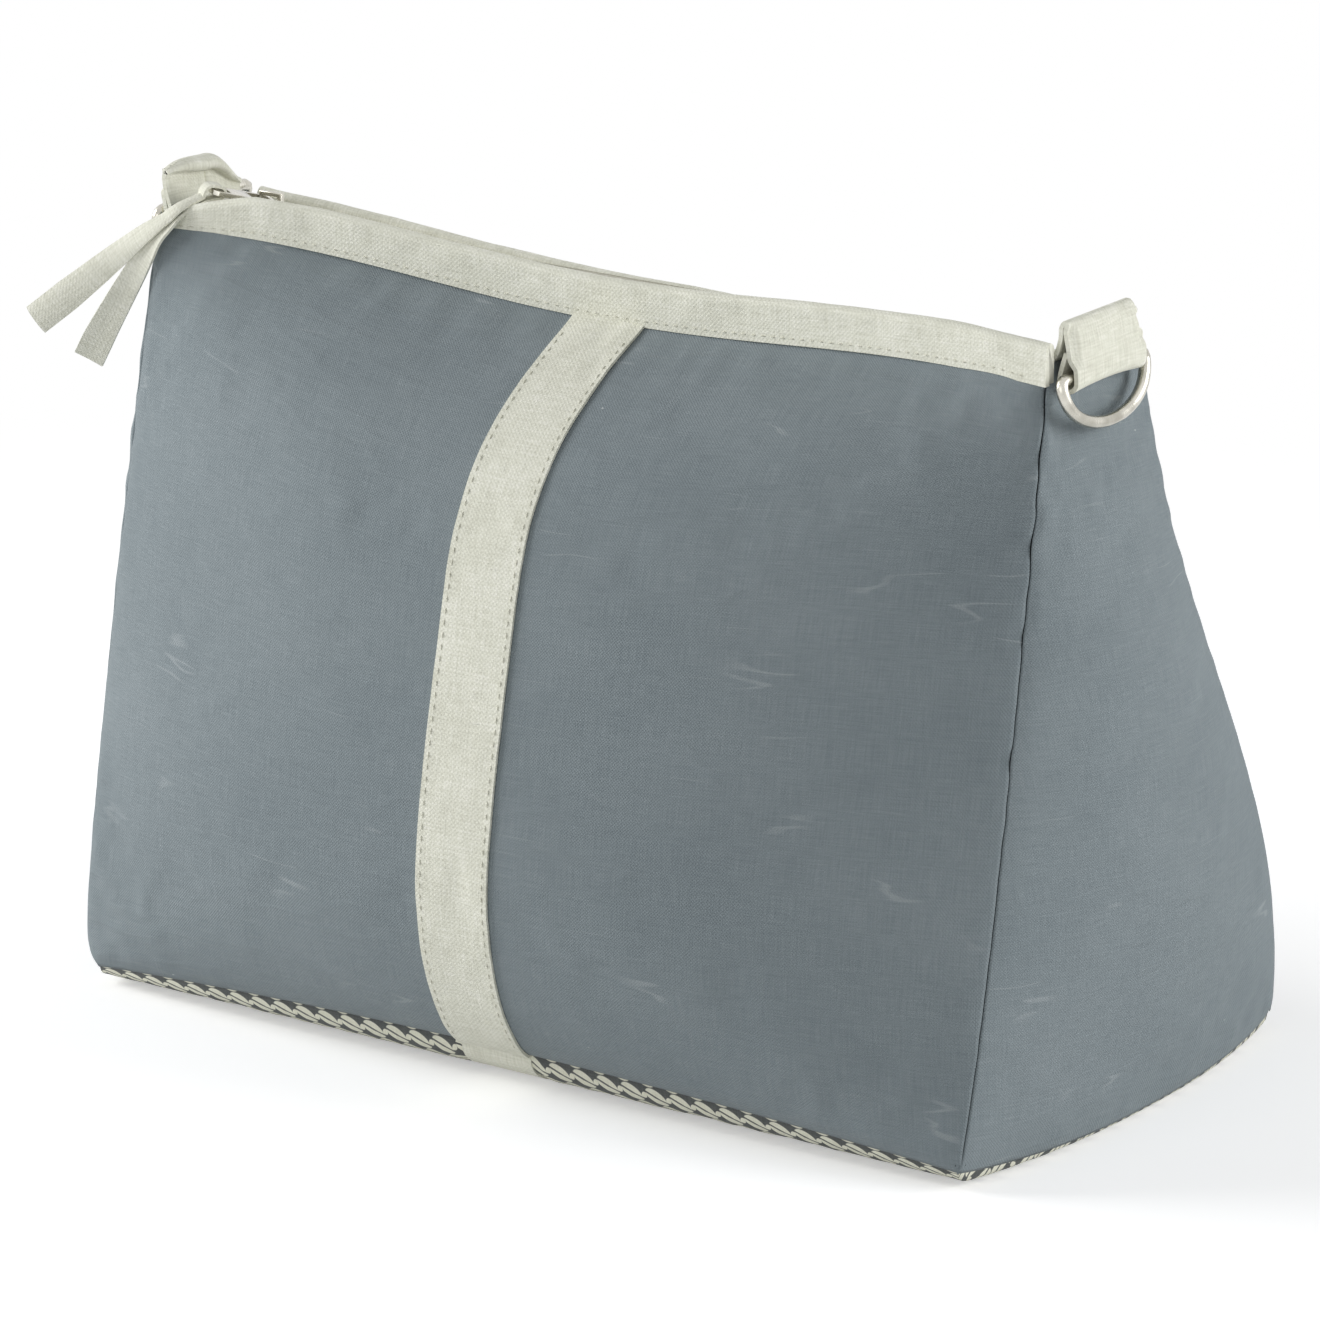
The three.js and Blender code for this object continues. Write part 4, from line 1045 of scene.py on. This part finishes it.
def add_base_band():
    a, b = np.meshgrid(np.linspace(-1, 1, 9), crowd(70, -1, 1, 0.5))
    near = base_floor(np.zeros_like(b), -b, BASE_BAND_LIFT)
    far = base_floor(np.zeros_like(b), -b, BASE_BAND_LIFT + BAND_THICK)
    from_side = (1 - np.abs(b)) * BASE_HALF_DEPTH
    tuck = BASE_SIDE_TUCK * fade(from_side, TUCK_REACH) * np.sign(b)
    for grid in (near, far):
        grid[..., 0] = a * BAND_WIDTH / 2
        grid[..., 1] += BAND_TUCK * tuck
    piece = closed_pair("base_band_cloth", near, far, sharp=50)
    dress(piece, "linen", "body", stands_for=["base_band"])
    declare_sheet(near)


# Bindings round the mouth.
BINDING_OVER, FRONT_BINDING_OVER, BINDING_LEG, BINDING_LIFT = 2.6, (0.2, 4.2), 0.95, 0.685


def long_wall_share(side, x):
    return np.clip(-side * x / corner_x(FRONT_TOP), -1, 1)


def wall_height_at(side, x, away):
    """Height of a long wall's outer face where it is away from the zip line."""
    v = np.linspace(0.8, 1, 161)
    s = long_wall_share(side, x)
    points = long_wall(side, np.full_like(v, s), v)
    distance = np.abs(points[:, 1] - MOUTH_Y)
    return float(np.interp(-away, -distance, points[:, 2]))


def binding_top(x, side):
    wall_top = long_wall_top(side, long_wall_share(side, x))
    taper = BINDING_TAPER * np.clip((-x - TAPER_START) / TAPER_LENGTH, 0, 1) ** 1.1 if side < 0 else 0
    return wall_top + BINDING_LIFT + BINDING_HEIGHT - BINDING_NARROW * (x / BINDING_REACH) ** 2 - taper




def binding_profile(near, far, lip, foot, top, wall):
    """Outline across a binding: up the inside, over the round top, down the outside, then back inside it."""
    round_top = (far - near) / 2
    middle, spring = (far + near) / 2, top - (far - near) / 2
    turns = np.linspace(math.pi, 0, 11)[1:-1]

    def arch(radius, order):
        return [(middle + radius * math.cos(t), spring + radius * math.sin(t)) for t in order]

    outside = [(near, z) for z in np.linspace(lip, spring, 4)]
    outside += arch(round_top, turns)
    outside += [(far, z) for z in np.linspace(spring, foot, 12)]
    inner = [(far - wall, z) for z in np.linspace(foot, spring, 6)]
    inner += arch(round_top - wall, turns[::-1])
    inner += [(near + wall, z) for z in np.linspace(spring, lip, 4)]
    return np.array(outside + inner), len(outside)


def cross_section(x, side, profile):
    """Places of a profile, given as distance from the zip line and height, at a place along the mouth."""
    return np.stack([np.full(len(profile), x), MOUTH_Y + side * profile[:, 0], profile[:, 1]], -1)


def add_binding(name, side):
    over_left, over_right = FRONT_BINDING_OVER if side < 0 else (BINDING_OVER, BINDING_OVER)
    stations = np.linspace(-BINDING_REACH - over_left, BINDING_REACH + over_right, 150)
    rings = []
    for x in stations:
        near = mouth_half(x)
        far = near + BINDING_THICK
        top = binding_top(x, side)
        wall_top = float(long_wall_top(side, long_wall_share(side, x)))
        foot = max(wall_height_at(side, x, far), wall_top - 1.2) + 0.3
        from_end = min(x - stations[0], stations[-1] - x)
        leg = lerp(BINDING_THICK / 2 - 0.02, BINDING_LEG, smooth(from_end / 4))
        profile, outside = binding_profile(near, far, min(ZIP_Z + 0.65, top - 2.8), foot, top, leg)
        rings.append(cross_section(x, side, profile))
    grid = np.array(rings)
    puff = lumpy(grid, BINDING_LUMPS)
    fold = smooth((grid[..., 2] - grid[..., 2].min(1, keepdims=True)) / 6)
    grid[..., 1] += side * puff * fold
    grid[..., 2] += 0.35 * wobble(grid * np.array([1, 0, 0]), 22, 2.0) * fold
    count = grid.shape[1]
    points = grid.reshape(-1, 3)
    faces = tube_faces(len(stations), count, False)
    if side > 0:
        faces = [face[::-1] for face in faces]
    around = lengths_along(grid[len(stations) // 2])
    uv = np.stack(np.broadcast_arrays(stations[:, None], around[None, :]), -1)
    piece = new_object(f"{name}_binding_cloth", points, faces, uv, 50)
    dress(piece, "linen", "body", stands_for=[f"{name}_binding"])
    line = grid[2:-2, outside - 3]
    normal = np.broadcast_to(np.array([0, side, 0.0]), line.shape)
    add_stitches(f"{name}_binding_stitches", [(line, normal)])


# Zip.
TOOTH_BEVEL = 0.22
METAL_PIECES = {
    "zip_slider": (0.3, "slider"),
    "zip_puller": (0.3, "puller"),
    "front_top_stop": (0.15, "body"),
    "back_top_stop": (0.15, "body"),
    "bottom_stop": (0.2, "body"),
}


def add_tape_edge(name, side):
    stations = np.linspace(-TAPE_REACH, TAPE_REACH, 60)
    rows = []
    for x in stations:
        turn = mouth_half(x) + 1.65
        top = float(binding_top(x, side)) - 2.2
        low = min(ZIP_Z, top - 1.2)
        start, end = FOLD_LINE + FOLD_GAP, turn - 0.6
        flat = [(lerp(start, end, t), lerp(ZIP_Z, low, t ** 1.5)) for t in np.linspace(0, 1, 8)]
        corner = [(turn - 0.2, low + 0.15), (turn, low + 0.6)]
        up = [(turn, z) for z in np.linspace(low + 1.0, top, 4)]
        profile = np.array(flat + corner + up)
        rows.append(cross_section(x, side, profile))
    piece = slab(f"{name}_tape_edge_cloth", np.array(rows), TAPE_THICK - 0.1)
    dress(piece, "zip_tape", "body", stands_for=[f"{name}_tape_edge"])


def flat_tape(name, x0, x1, y0, y1, body, stands_for):
    x, y = np.meshgrid(np.linspace(x0, x1, max(3, int((x1 - x0) / 3))), np.linspace(y0, y1, 6))
    piece = slab(name, np.stack([x, y, np.full_like(x, ZIP_Z)], -1), TAPE_THICK - 0.1)
    return dress(piece, "zip_tape", body, stands_for=stands_for)


def block(x0, x1, y0, y1, z0, z1):
    corners = [(x, y, z) for z in (z0, z1) for x, y in ((x0, y0), (x1, y0), (x1, y1), (x0, y1))]
    faces = [(0, 3, 2, 1), (4, 5, 6, 7), (0, 1, 5, 4), (1, 2, 6, 5), (2, 3, 7, 6), (3, 0, 4, 7)]
    return corners, faces


def blocks_object(name, blocks, bevel):
    points, faces = [], []
    for corners, quads in blocks:
        faces += [[i + len(points) for i in quad] for quad in quads]
        points += corners
    piece = new_object(name, points, faces)
    soften = piece.modifiers.new("Bevel", "BEVEL")
    soften.width = bevel * MM
    soften.segments = 2
    return piece


def add_teeth(name, side):
    back = MOUTH_Y + side * CHAIN_EDGE
    spine = MOUTH_Y + side * TOOTH_REACH * 1.2
    tip = MOUTH_Y - side * TOOTH_REACH
    low, high = ZIP_Z - CHAIN_THICK / 2, ZIP_Z + CHAIN_THICK / 2
    blocks = [block(CHAIN_START, CHAIN_END, min(back, spine), max(back, spine), low + 0.35, high - 0.35)]
    first = CHAIN_START + (0.4 if side > 0 else 0.4 + TOOTH_PITCH / 2)
    for x in np.arange(first, CHAIN_END - TOOTH_WIDTH, TOOTH_PITCH):
        blocks.append(block(x, x + TOOTH_WIDTH, min(back, tip), max(back, tip), low, high))
    row = blocks_object(f"{name}_teeth_row", blocks, TOOTH_BEVEL)
    dress(row, "zip_teeth", f"{name}_flap", stands_for=[f"{name}_teeth"])


def add_chain_end():
    low, high = ZIP_Z - CHAIN_THICK / 2, ZIP_Z + CHAIN_THICK / 2
    near, far = MOUTH_Y - CHAIN_EDGE, MOUTH_Y + CHAIN_EDGE
    blocks = [block(RIGHT_CHAIN, RIGHT_CHAIN_END, near, far, low + 0.4, high - 0.4)]
    for k, x in enumerate(np.arange(RIGHT_CHAIN + 0.3, RIGHT_CHAIN_END - 1.3, TOOTH_PITCH / 2)):
        side = 1 if k % 2 else -1
        edges = sorted((MOUTH_Y + side * CHAIN_EDGE, MOUTH_Y - side * TOOTH_REACH))
        blocks.append(block(x, x + TOOTH_WIDTH, *edges, low, high))
    row = blocks_object("right_chain_end_row", blocks, TOOTH_BEVEL)
    dress(row, "zip_teeth", "body", stands_for=["right_chain_end"])


def refined(name, node, bevel, material, body):
    """A CAD metal piece with its edges rounded off."""
    mesh = bpy.data.meshes.new(name)
    form = bmesh.new()
    form.from_mesh(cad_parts[node].data)
    bmesh.ops.remove_doubles(form, verts=form.verts, dist=1e-6)
    bmesh.ops.dissolve_limit(form, angle_limit=math.radians(1), verts=form.verts, edges=form.edges)
    sharp = [e for e in form.edges if len(e.link_faces) == 2 and e.calc_face_angle() > 0.5]
    bmesh.ops.bevel(form, geom=sharp, offset=bevel * MM, segments=2, profile=0.6, affect="EDGES",
                    clamp_overlap=True)
    form.to_mesh(mesh)
    form.free()
    piece = bpy.data.objects.new(name, mesh)
    bpy.context.scene.collection.objects.link(piece)
    mesh.polygons.foreach_set("use_smooth", np.ones(len(mesh.polygons), bool))
    mesh.set_sharp_from_angle(angle=math.radians(35))
    return dress(piece, material, body, stands_for=[node])


def add_zip():
    edge, under = FOLD_LINE - END_GAP, CHAIN_EDGE + TAPE_UNDER_CHAIN
    for name, side in (("front", -1), ("back", 1)):
        add_tape_edge(name, side)
        near, far = sorted((MOUTH_Y + side * (FOLD_LINE - FOLD_GAP), MOUTH_Y + side * under))
        flat_tape(f"{name}_tape_cloth", CHAIN_START, CHAIN_END, near, far, f"{name}_flap", [f"{name}_tape"])
        add_teeth(name, side)
    for name, start, end in (("left", -TAPE_REACH, LEFT_SLOT), ("right", RIGHT_SLOT, TAPE_REACH)):
        node = f"{name}_tape_end"
        flat_tape(f"{node}_cloth", start, end, MOUTH_Y - edge, MOUTH_Y + edge, "body", [node])
    for name, side in (("front", -1), ("back", 1)):
        near, far = sorted((MOUTH_Y + side * edge, MOUTH_Y + side * under))
        flat_tape(f"left_tape_end_{name}_fork", LEFT_SLOT + 0.1, CHAIN_START - 0.3, near, far, "body", [])
        flat_tape(f"right_tape_end_{name}_fork", RIGHT_CHAIN, RIGHT_SLOT - 0.1, near, far, "body", [])
    add_chain_end()
    for node, (bevel, body) in METAL_PIECES.items():
        refined(f"{node}_metal", node, bevel, "steel", body)


# End loops and their rings. Each route is the strap's middle line, as distance from the middle and height.
STRAP_THICK = 1.1
HEM_RADIUS = RING_WIRE + 0.25 + STRAP_THICK / 2
RIGHT_RUN = [
    (126.4, 181), (126.9, 187), (128.4, 191.8), (130.5, 195), (131.5, 198.5), (131.6, 201), (132.5, 202.2),
    (133.5, 201.2), (134.6, 198), (135.3, 194.5), (135.8, 191.5),
]
LEFT_RUN = [
    (126.4, 182), (127.6, 187), (129.9, 191.5), (131.3, 195), (131.6, 198.2), (130.8, 198.9), (129.2, 199),
    (128.6, 199.9), (129.5, 201.1), (131.4, 201.6), (133.2, 200.3), (134.4, 197.5), (135.3, 194.6),
    (135.7, 192.5),
]
CREASE_Z = 198.9


def loop_route(run, eye):
    """Up from the root, over the fold, down, round the ring's bar and up again inside the hem."""
    turns = np.linspace(0, -math.pi, 15)
    hem = [tuple(eye + HEM_RADIUS * np.array([math.cos(t), math.sin(t)])) for t in turns]
    tucked = [(eye[0] - 1.6, eye[1] + 3), (eye[0] - 0.6, eye[1] + 6)]
    return curve_through(run + hem + tucked, 110)


def right_shape(x, z, c):
    """The right strap hangs flat, with a rounded back corner and ends that droop a little."""
    back_corner = 2.4 * smooth((c - 0.78) / 0.22) ** 1.5 * smooth((z - 194) / 8)
    droop = 0.8 * c ** 2 * smooth((196 - z) / 8) * smooth((x - 130) / 3)
    curl = 1.4 * smooth((np.abs(c) - 0.78) / 0.2) * smooth((x - 133) / 1.2) * smooth((z - 191.5) / 2.5)
    return x - curl, z - back_corner - droop


def left_shape(x, z, c):
    """The left strap is pressed over: its middle rolls towards the bag, and it falls off to the back."""
    fall = 6.5 * smooth(c / 1.05) ** 1.2 - 1.3 * smooth(-c / 0.8)
    flat = np.minimum(1, np.abs(c) / 0.95) ** 2.4
    inside = smooth((131.2 - x) / 1.2)
    roll = inside * smooth((z - CREASE_Z + 0.8) / 0.8) * flat
    inner_run = smooth((132.2 - x) / 0.4) * smooth((CREASE_Z - z) / 0.8)
    groove = 0.9 * fade(c - 0.06, 0.024, 2) * inner_run
    pressed = np.maximum(0, z - CREASE_Z) * 0.9 * flat
    return x + 2.2 * roll + groove, z - pressed - fall * smooth((z - 187) / 11)


def add_loop(name, side, run, eye, middle_y, shape):
    columns = np.linspace(-1, 1, 81)
    route = loop_route(run, eye)
    c = np.broadcast_to(columns, (len(route), len(columns)))
    x, z = shape(route[:, :1] + 0 * c, route[:, 1:] + 0 * c, c)
    drawn_in = OUTER_BACK * np.maximum(0, -c) * smooth((x - OUTER_FROM) / OUTER_OVER) if side < 0 else 0
    grid = np.stack([side * x, middle_y + LOOP_WIDTH / 2 * c + drawn_in, z], -1)
    grid = grid + 0.16 * wobble(grid, 8, 6.0)[..., None] * np.array([1.0, 0, 0.6])
    grid = grid if side > 0 else grid[:, ::-1]
    piece = slab(f"{name}_strap", grid, STRAP_THICK, 55)
    dress(piece, "linen", "body", stands_for=[name])
    declare_sheet(grid)


def ring_outline():
    """A D outline with rounded corners: distance along the bar and drop below it."""
    turns = np.linspace(0, math.pi, 41)
    arc = np.stack([RING_HALF * np.cos(turns), RING_DROP * np.sin(turns) ** 0.8], -1)
    bar = np.stack([np.linspace(-0.97, 0.97, 15) * RING_HALF, np.zeros(15)], -1)
    outline = np.concatenate([arc, bar])
    for _ in range(3):
        before, after = np.roll(outline, 1, axis=0), np.roll(outline, -1, axis=0)
        soft = 0.25 * before + 0.5 * outline + 0.25 * after
        corner = smooth((np.abs(outline[:, 0]) - 0.8 * RING_HALF) / 2)[:, None]
        outline = lerp(outline, soft, corner)
    return outline


def add_ring(name, side, eye, middle_y, body):
    lean = math.radians(RING_LEAN)
    down = np.array([side * math.sin(lean), 0, -math.cos(lean)])
    bar = np.array([0, 1.0, 0])
    face = np.cross(bar, down)
    outline = ring_outline()
    middle = np.array([side * eye[0], middle_y, eye[1]]) + outline[:, :1] * bar + outline[:, 1:] * down
    tangent = np.roll(middle, -1, axis=0) - np.roll(middle, 1, axis=0)
    tangent /= np.linalg.norm(tangent, axis=1, keepdims=True)
    outward = np.cross(tangent, face)
    turns = np.linspace(0, 2 * math.pi, 16, endpoint=False)
    rings = middle[:, None] + RING_WIRE * circle(outward[:, None], face, turns)
    piece = new_object(f"{name}_wire", rings, tube_faces(len(middle), 16, True))
    recalculate(piece)
    dress(piece, "steel", body, stands_for=[name])


def recalculate(piece):
    form = bmesh.new()
    form.from_mesh(piece.data)
    bmesh.ops.recalc_face_normals(form, faces=form.faces)
    form.to_mesh(piece.data)
    form.free()


# Stage: a pale floor that looks white where no shadow falls, soft light all round and three large lamps.
FLOOR_HALF, FLOOR_DOWN, FLOOR_GREY, FLOOR_LIFT = 4000, 0.3, 0.9, 0.4
FLOOR_FADE = (0.25, 0.6)
WORLD_LIGHT, WORLD_TINT = 0.29, (0.97, 0.985, 1.0, 1)
WHITE = (1, 1, 1, 1)
LAMP_SIZE, LAMP_AIM = 1.2, (0, 0, 0.1)
LAMPS = {"key": ((-1.7, -0.7, 0.9), 32), "side": ((1.9, 0.75, 0.75), 27), "fill": ((0.1, -1.7, 0.35), 4.5)}


def make_floor():
    turns = ((-1, -1), (1, -1), (1, 1), (-1, 1))
    corners = [(x * FLOOR_HALF, y * FLOOR_HALF, -FLOOR_DOWN) for x, y in turns]
    piece = new_object("floor", corners, [(0, 1, 2, 3)])
    shader = Shader("floor")
    place = shader.add("NewGeometry").outputs["Position"]
    distance = shader.add("VectorMath", {0: place}, operation="LENGTH")
    far = shader.range(shader.value(distance, "Value"), *FLOOR_FADE)
    seen = shader.seen()
    diffuse = shader.add("BsdfDiffuse", {"Color": (FLOOR_GREY, FLOOR_GREY, FLOOR_GREY, 1)})
    lift = shader.add("Emission", {"Color": WHITE, "Strength": seen * FLOOR_LIFT})
    lifted = shader.add("AddShader", {0: diffuse.outputs[0], 1: lift.outputs[0]})
    white = shader.add("Emission", {"Color": WHITE, "Strength": 1.0})
    shader.show(shader.mix_shaders(far * seen, lifted, white), "OutputMaterial")
    piece.data.materials.append(shader.material)


def make_world():
    world = bpy.data.worlds.new("studio")
    world.use_nodes = True
    nodes = Nodes(world.node_tree)
    soft = nodes.add("Background", {"Color": WORLD_TINT, "Strength": WORLD_LIGHT})
    white = nodes.add("Background", {"Color": WHITE, "Strength": 1.0})
    nodes.show(nodes.mix_shaders(nodes.seen(), soft, white), "OutputWorld")
    bpy.context.scene.world = world


def add_lamp(name, place, watts):
    data = bpy.data.lights.new(name, "AREA")
    data.shape = "SQUARE"
    data.size = LAMP_SIZE
    data.energy = watts
    lamp = bpy.data.objects.new(name, data)
    bpy.context.scene.collection.objects.link(lamp)
    lamp.location = place
    lamp.rotation_euler = (Vector(LAMP_AIM) - Vector(place)).to_track_quat("-Z", "Y").to_euler()


def make_stage():
    make_floor()
    make_world()
    for name, (place, watts) in LAMPS.items():
        add_lamp(name, place, watts)
    bpy.context.scene.view_settings.view_transform = "Standard"


make_camera()
add_ribbon()
simulate_walls()
for wall_name in WALL_GRIDS:
    add_wall(wall_name)
    add_lining(wall_name)
for seam_name, wall_name, wall_end in (("front_left", "front", -1), ("front_right", "front", 1),
                                       ("back_right", "back", -1), ("back_left", "back", 1)):
    add_corner_seam_shade(seam_name, wall_name, wall_end)
add_base()
for wall_name in ("front", "back"):
    add_wall_band(wall_name)
add_base_band()
add_binding("front", -1)
add_binding("back", 1)
add_zip()
add_loop("left_loop", -1, LEFT_RUN, LEFT_EYE, LEFT_LOOP_Y, left_shape)
add_loop("right_loop", 1, RIGHT_RUN, RIGHT_EYE, RIGHT_LOOP_Y, right_shape)
add_ring("left_d_ring", -1, LEFT_EYE, LEFT_RING_Y, "left_ring")
add_ring("right_d_ring", 1, RIGHT_EYE, RIGHT_LOOP_Y, "right_ring")
make_stage()
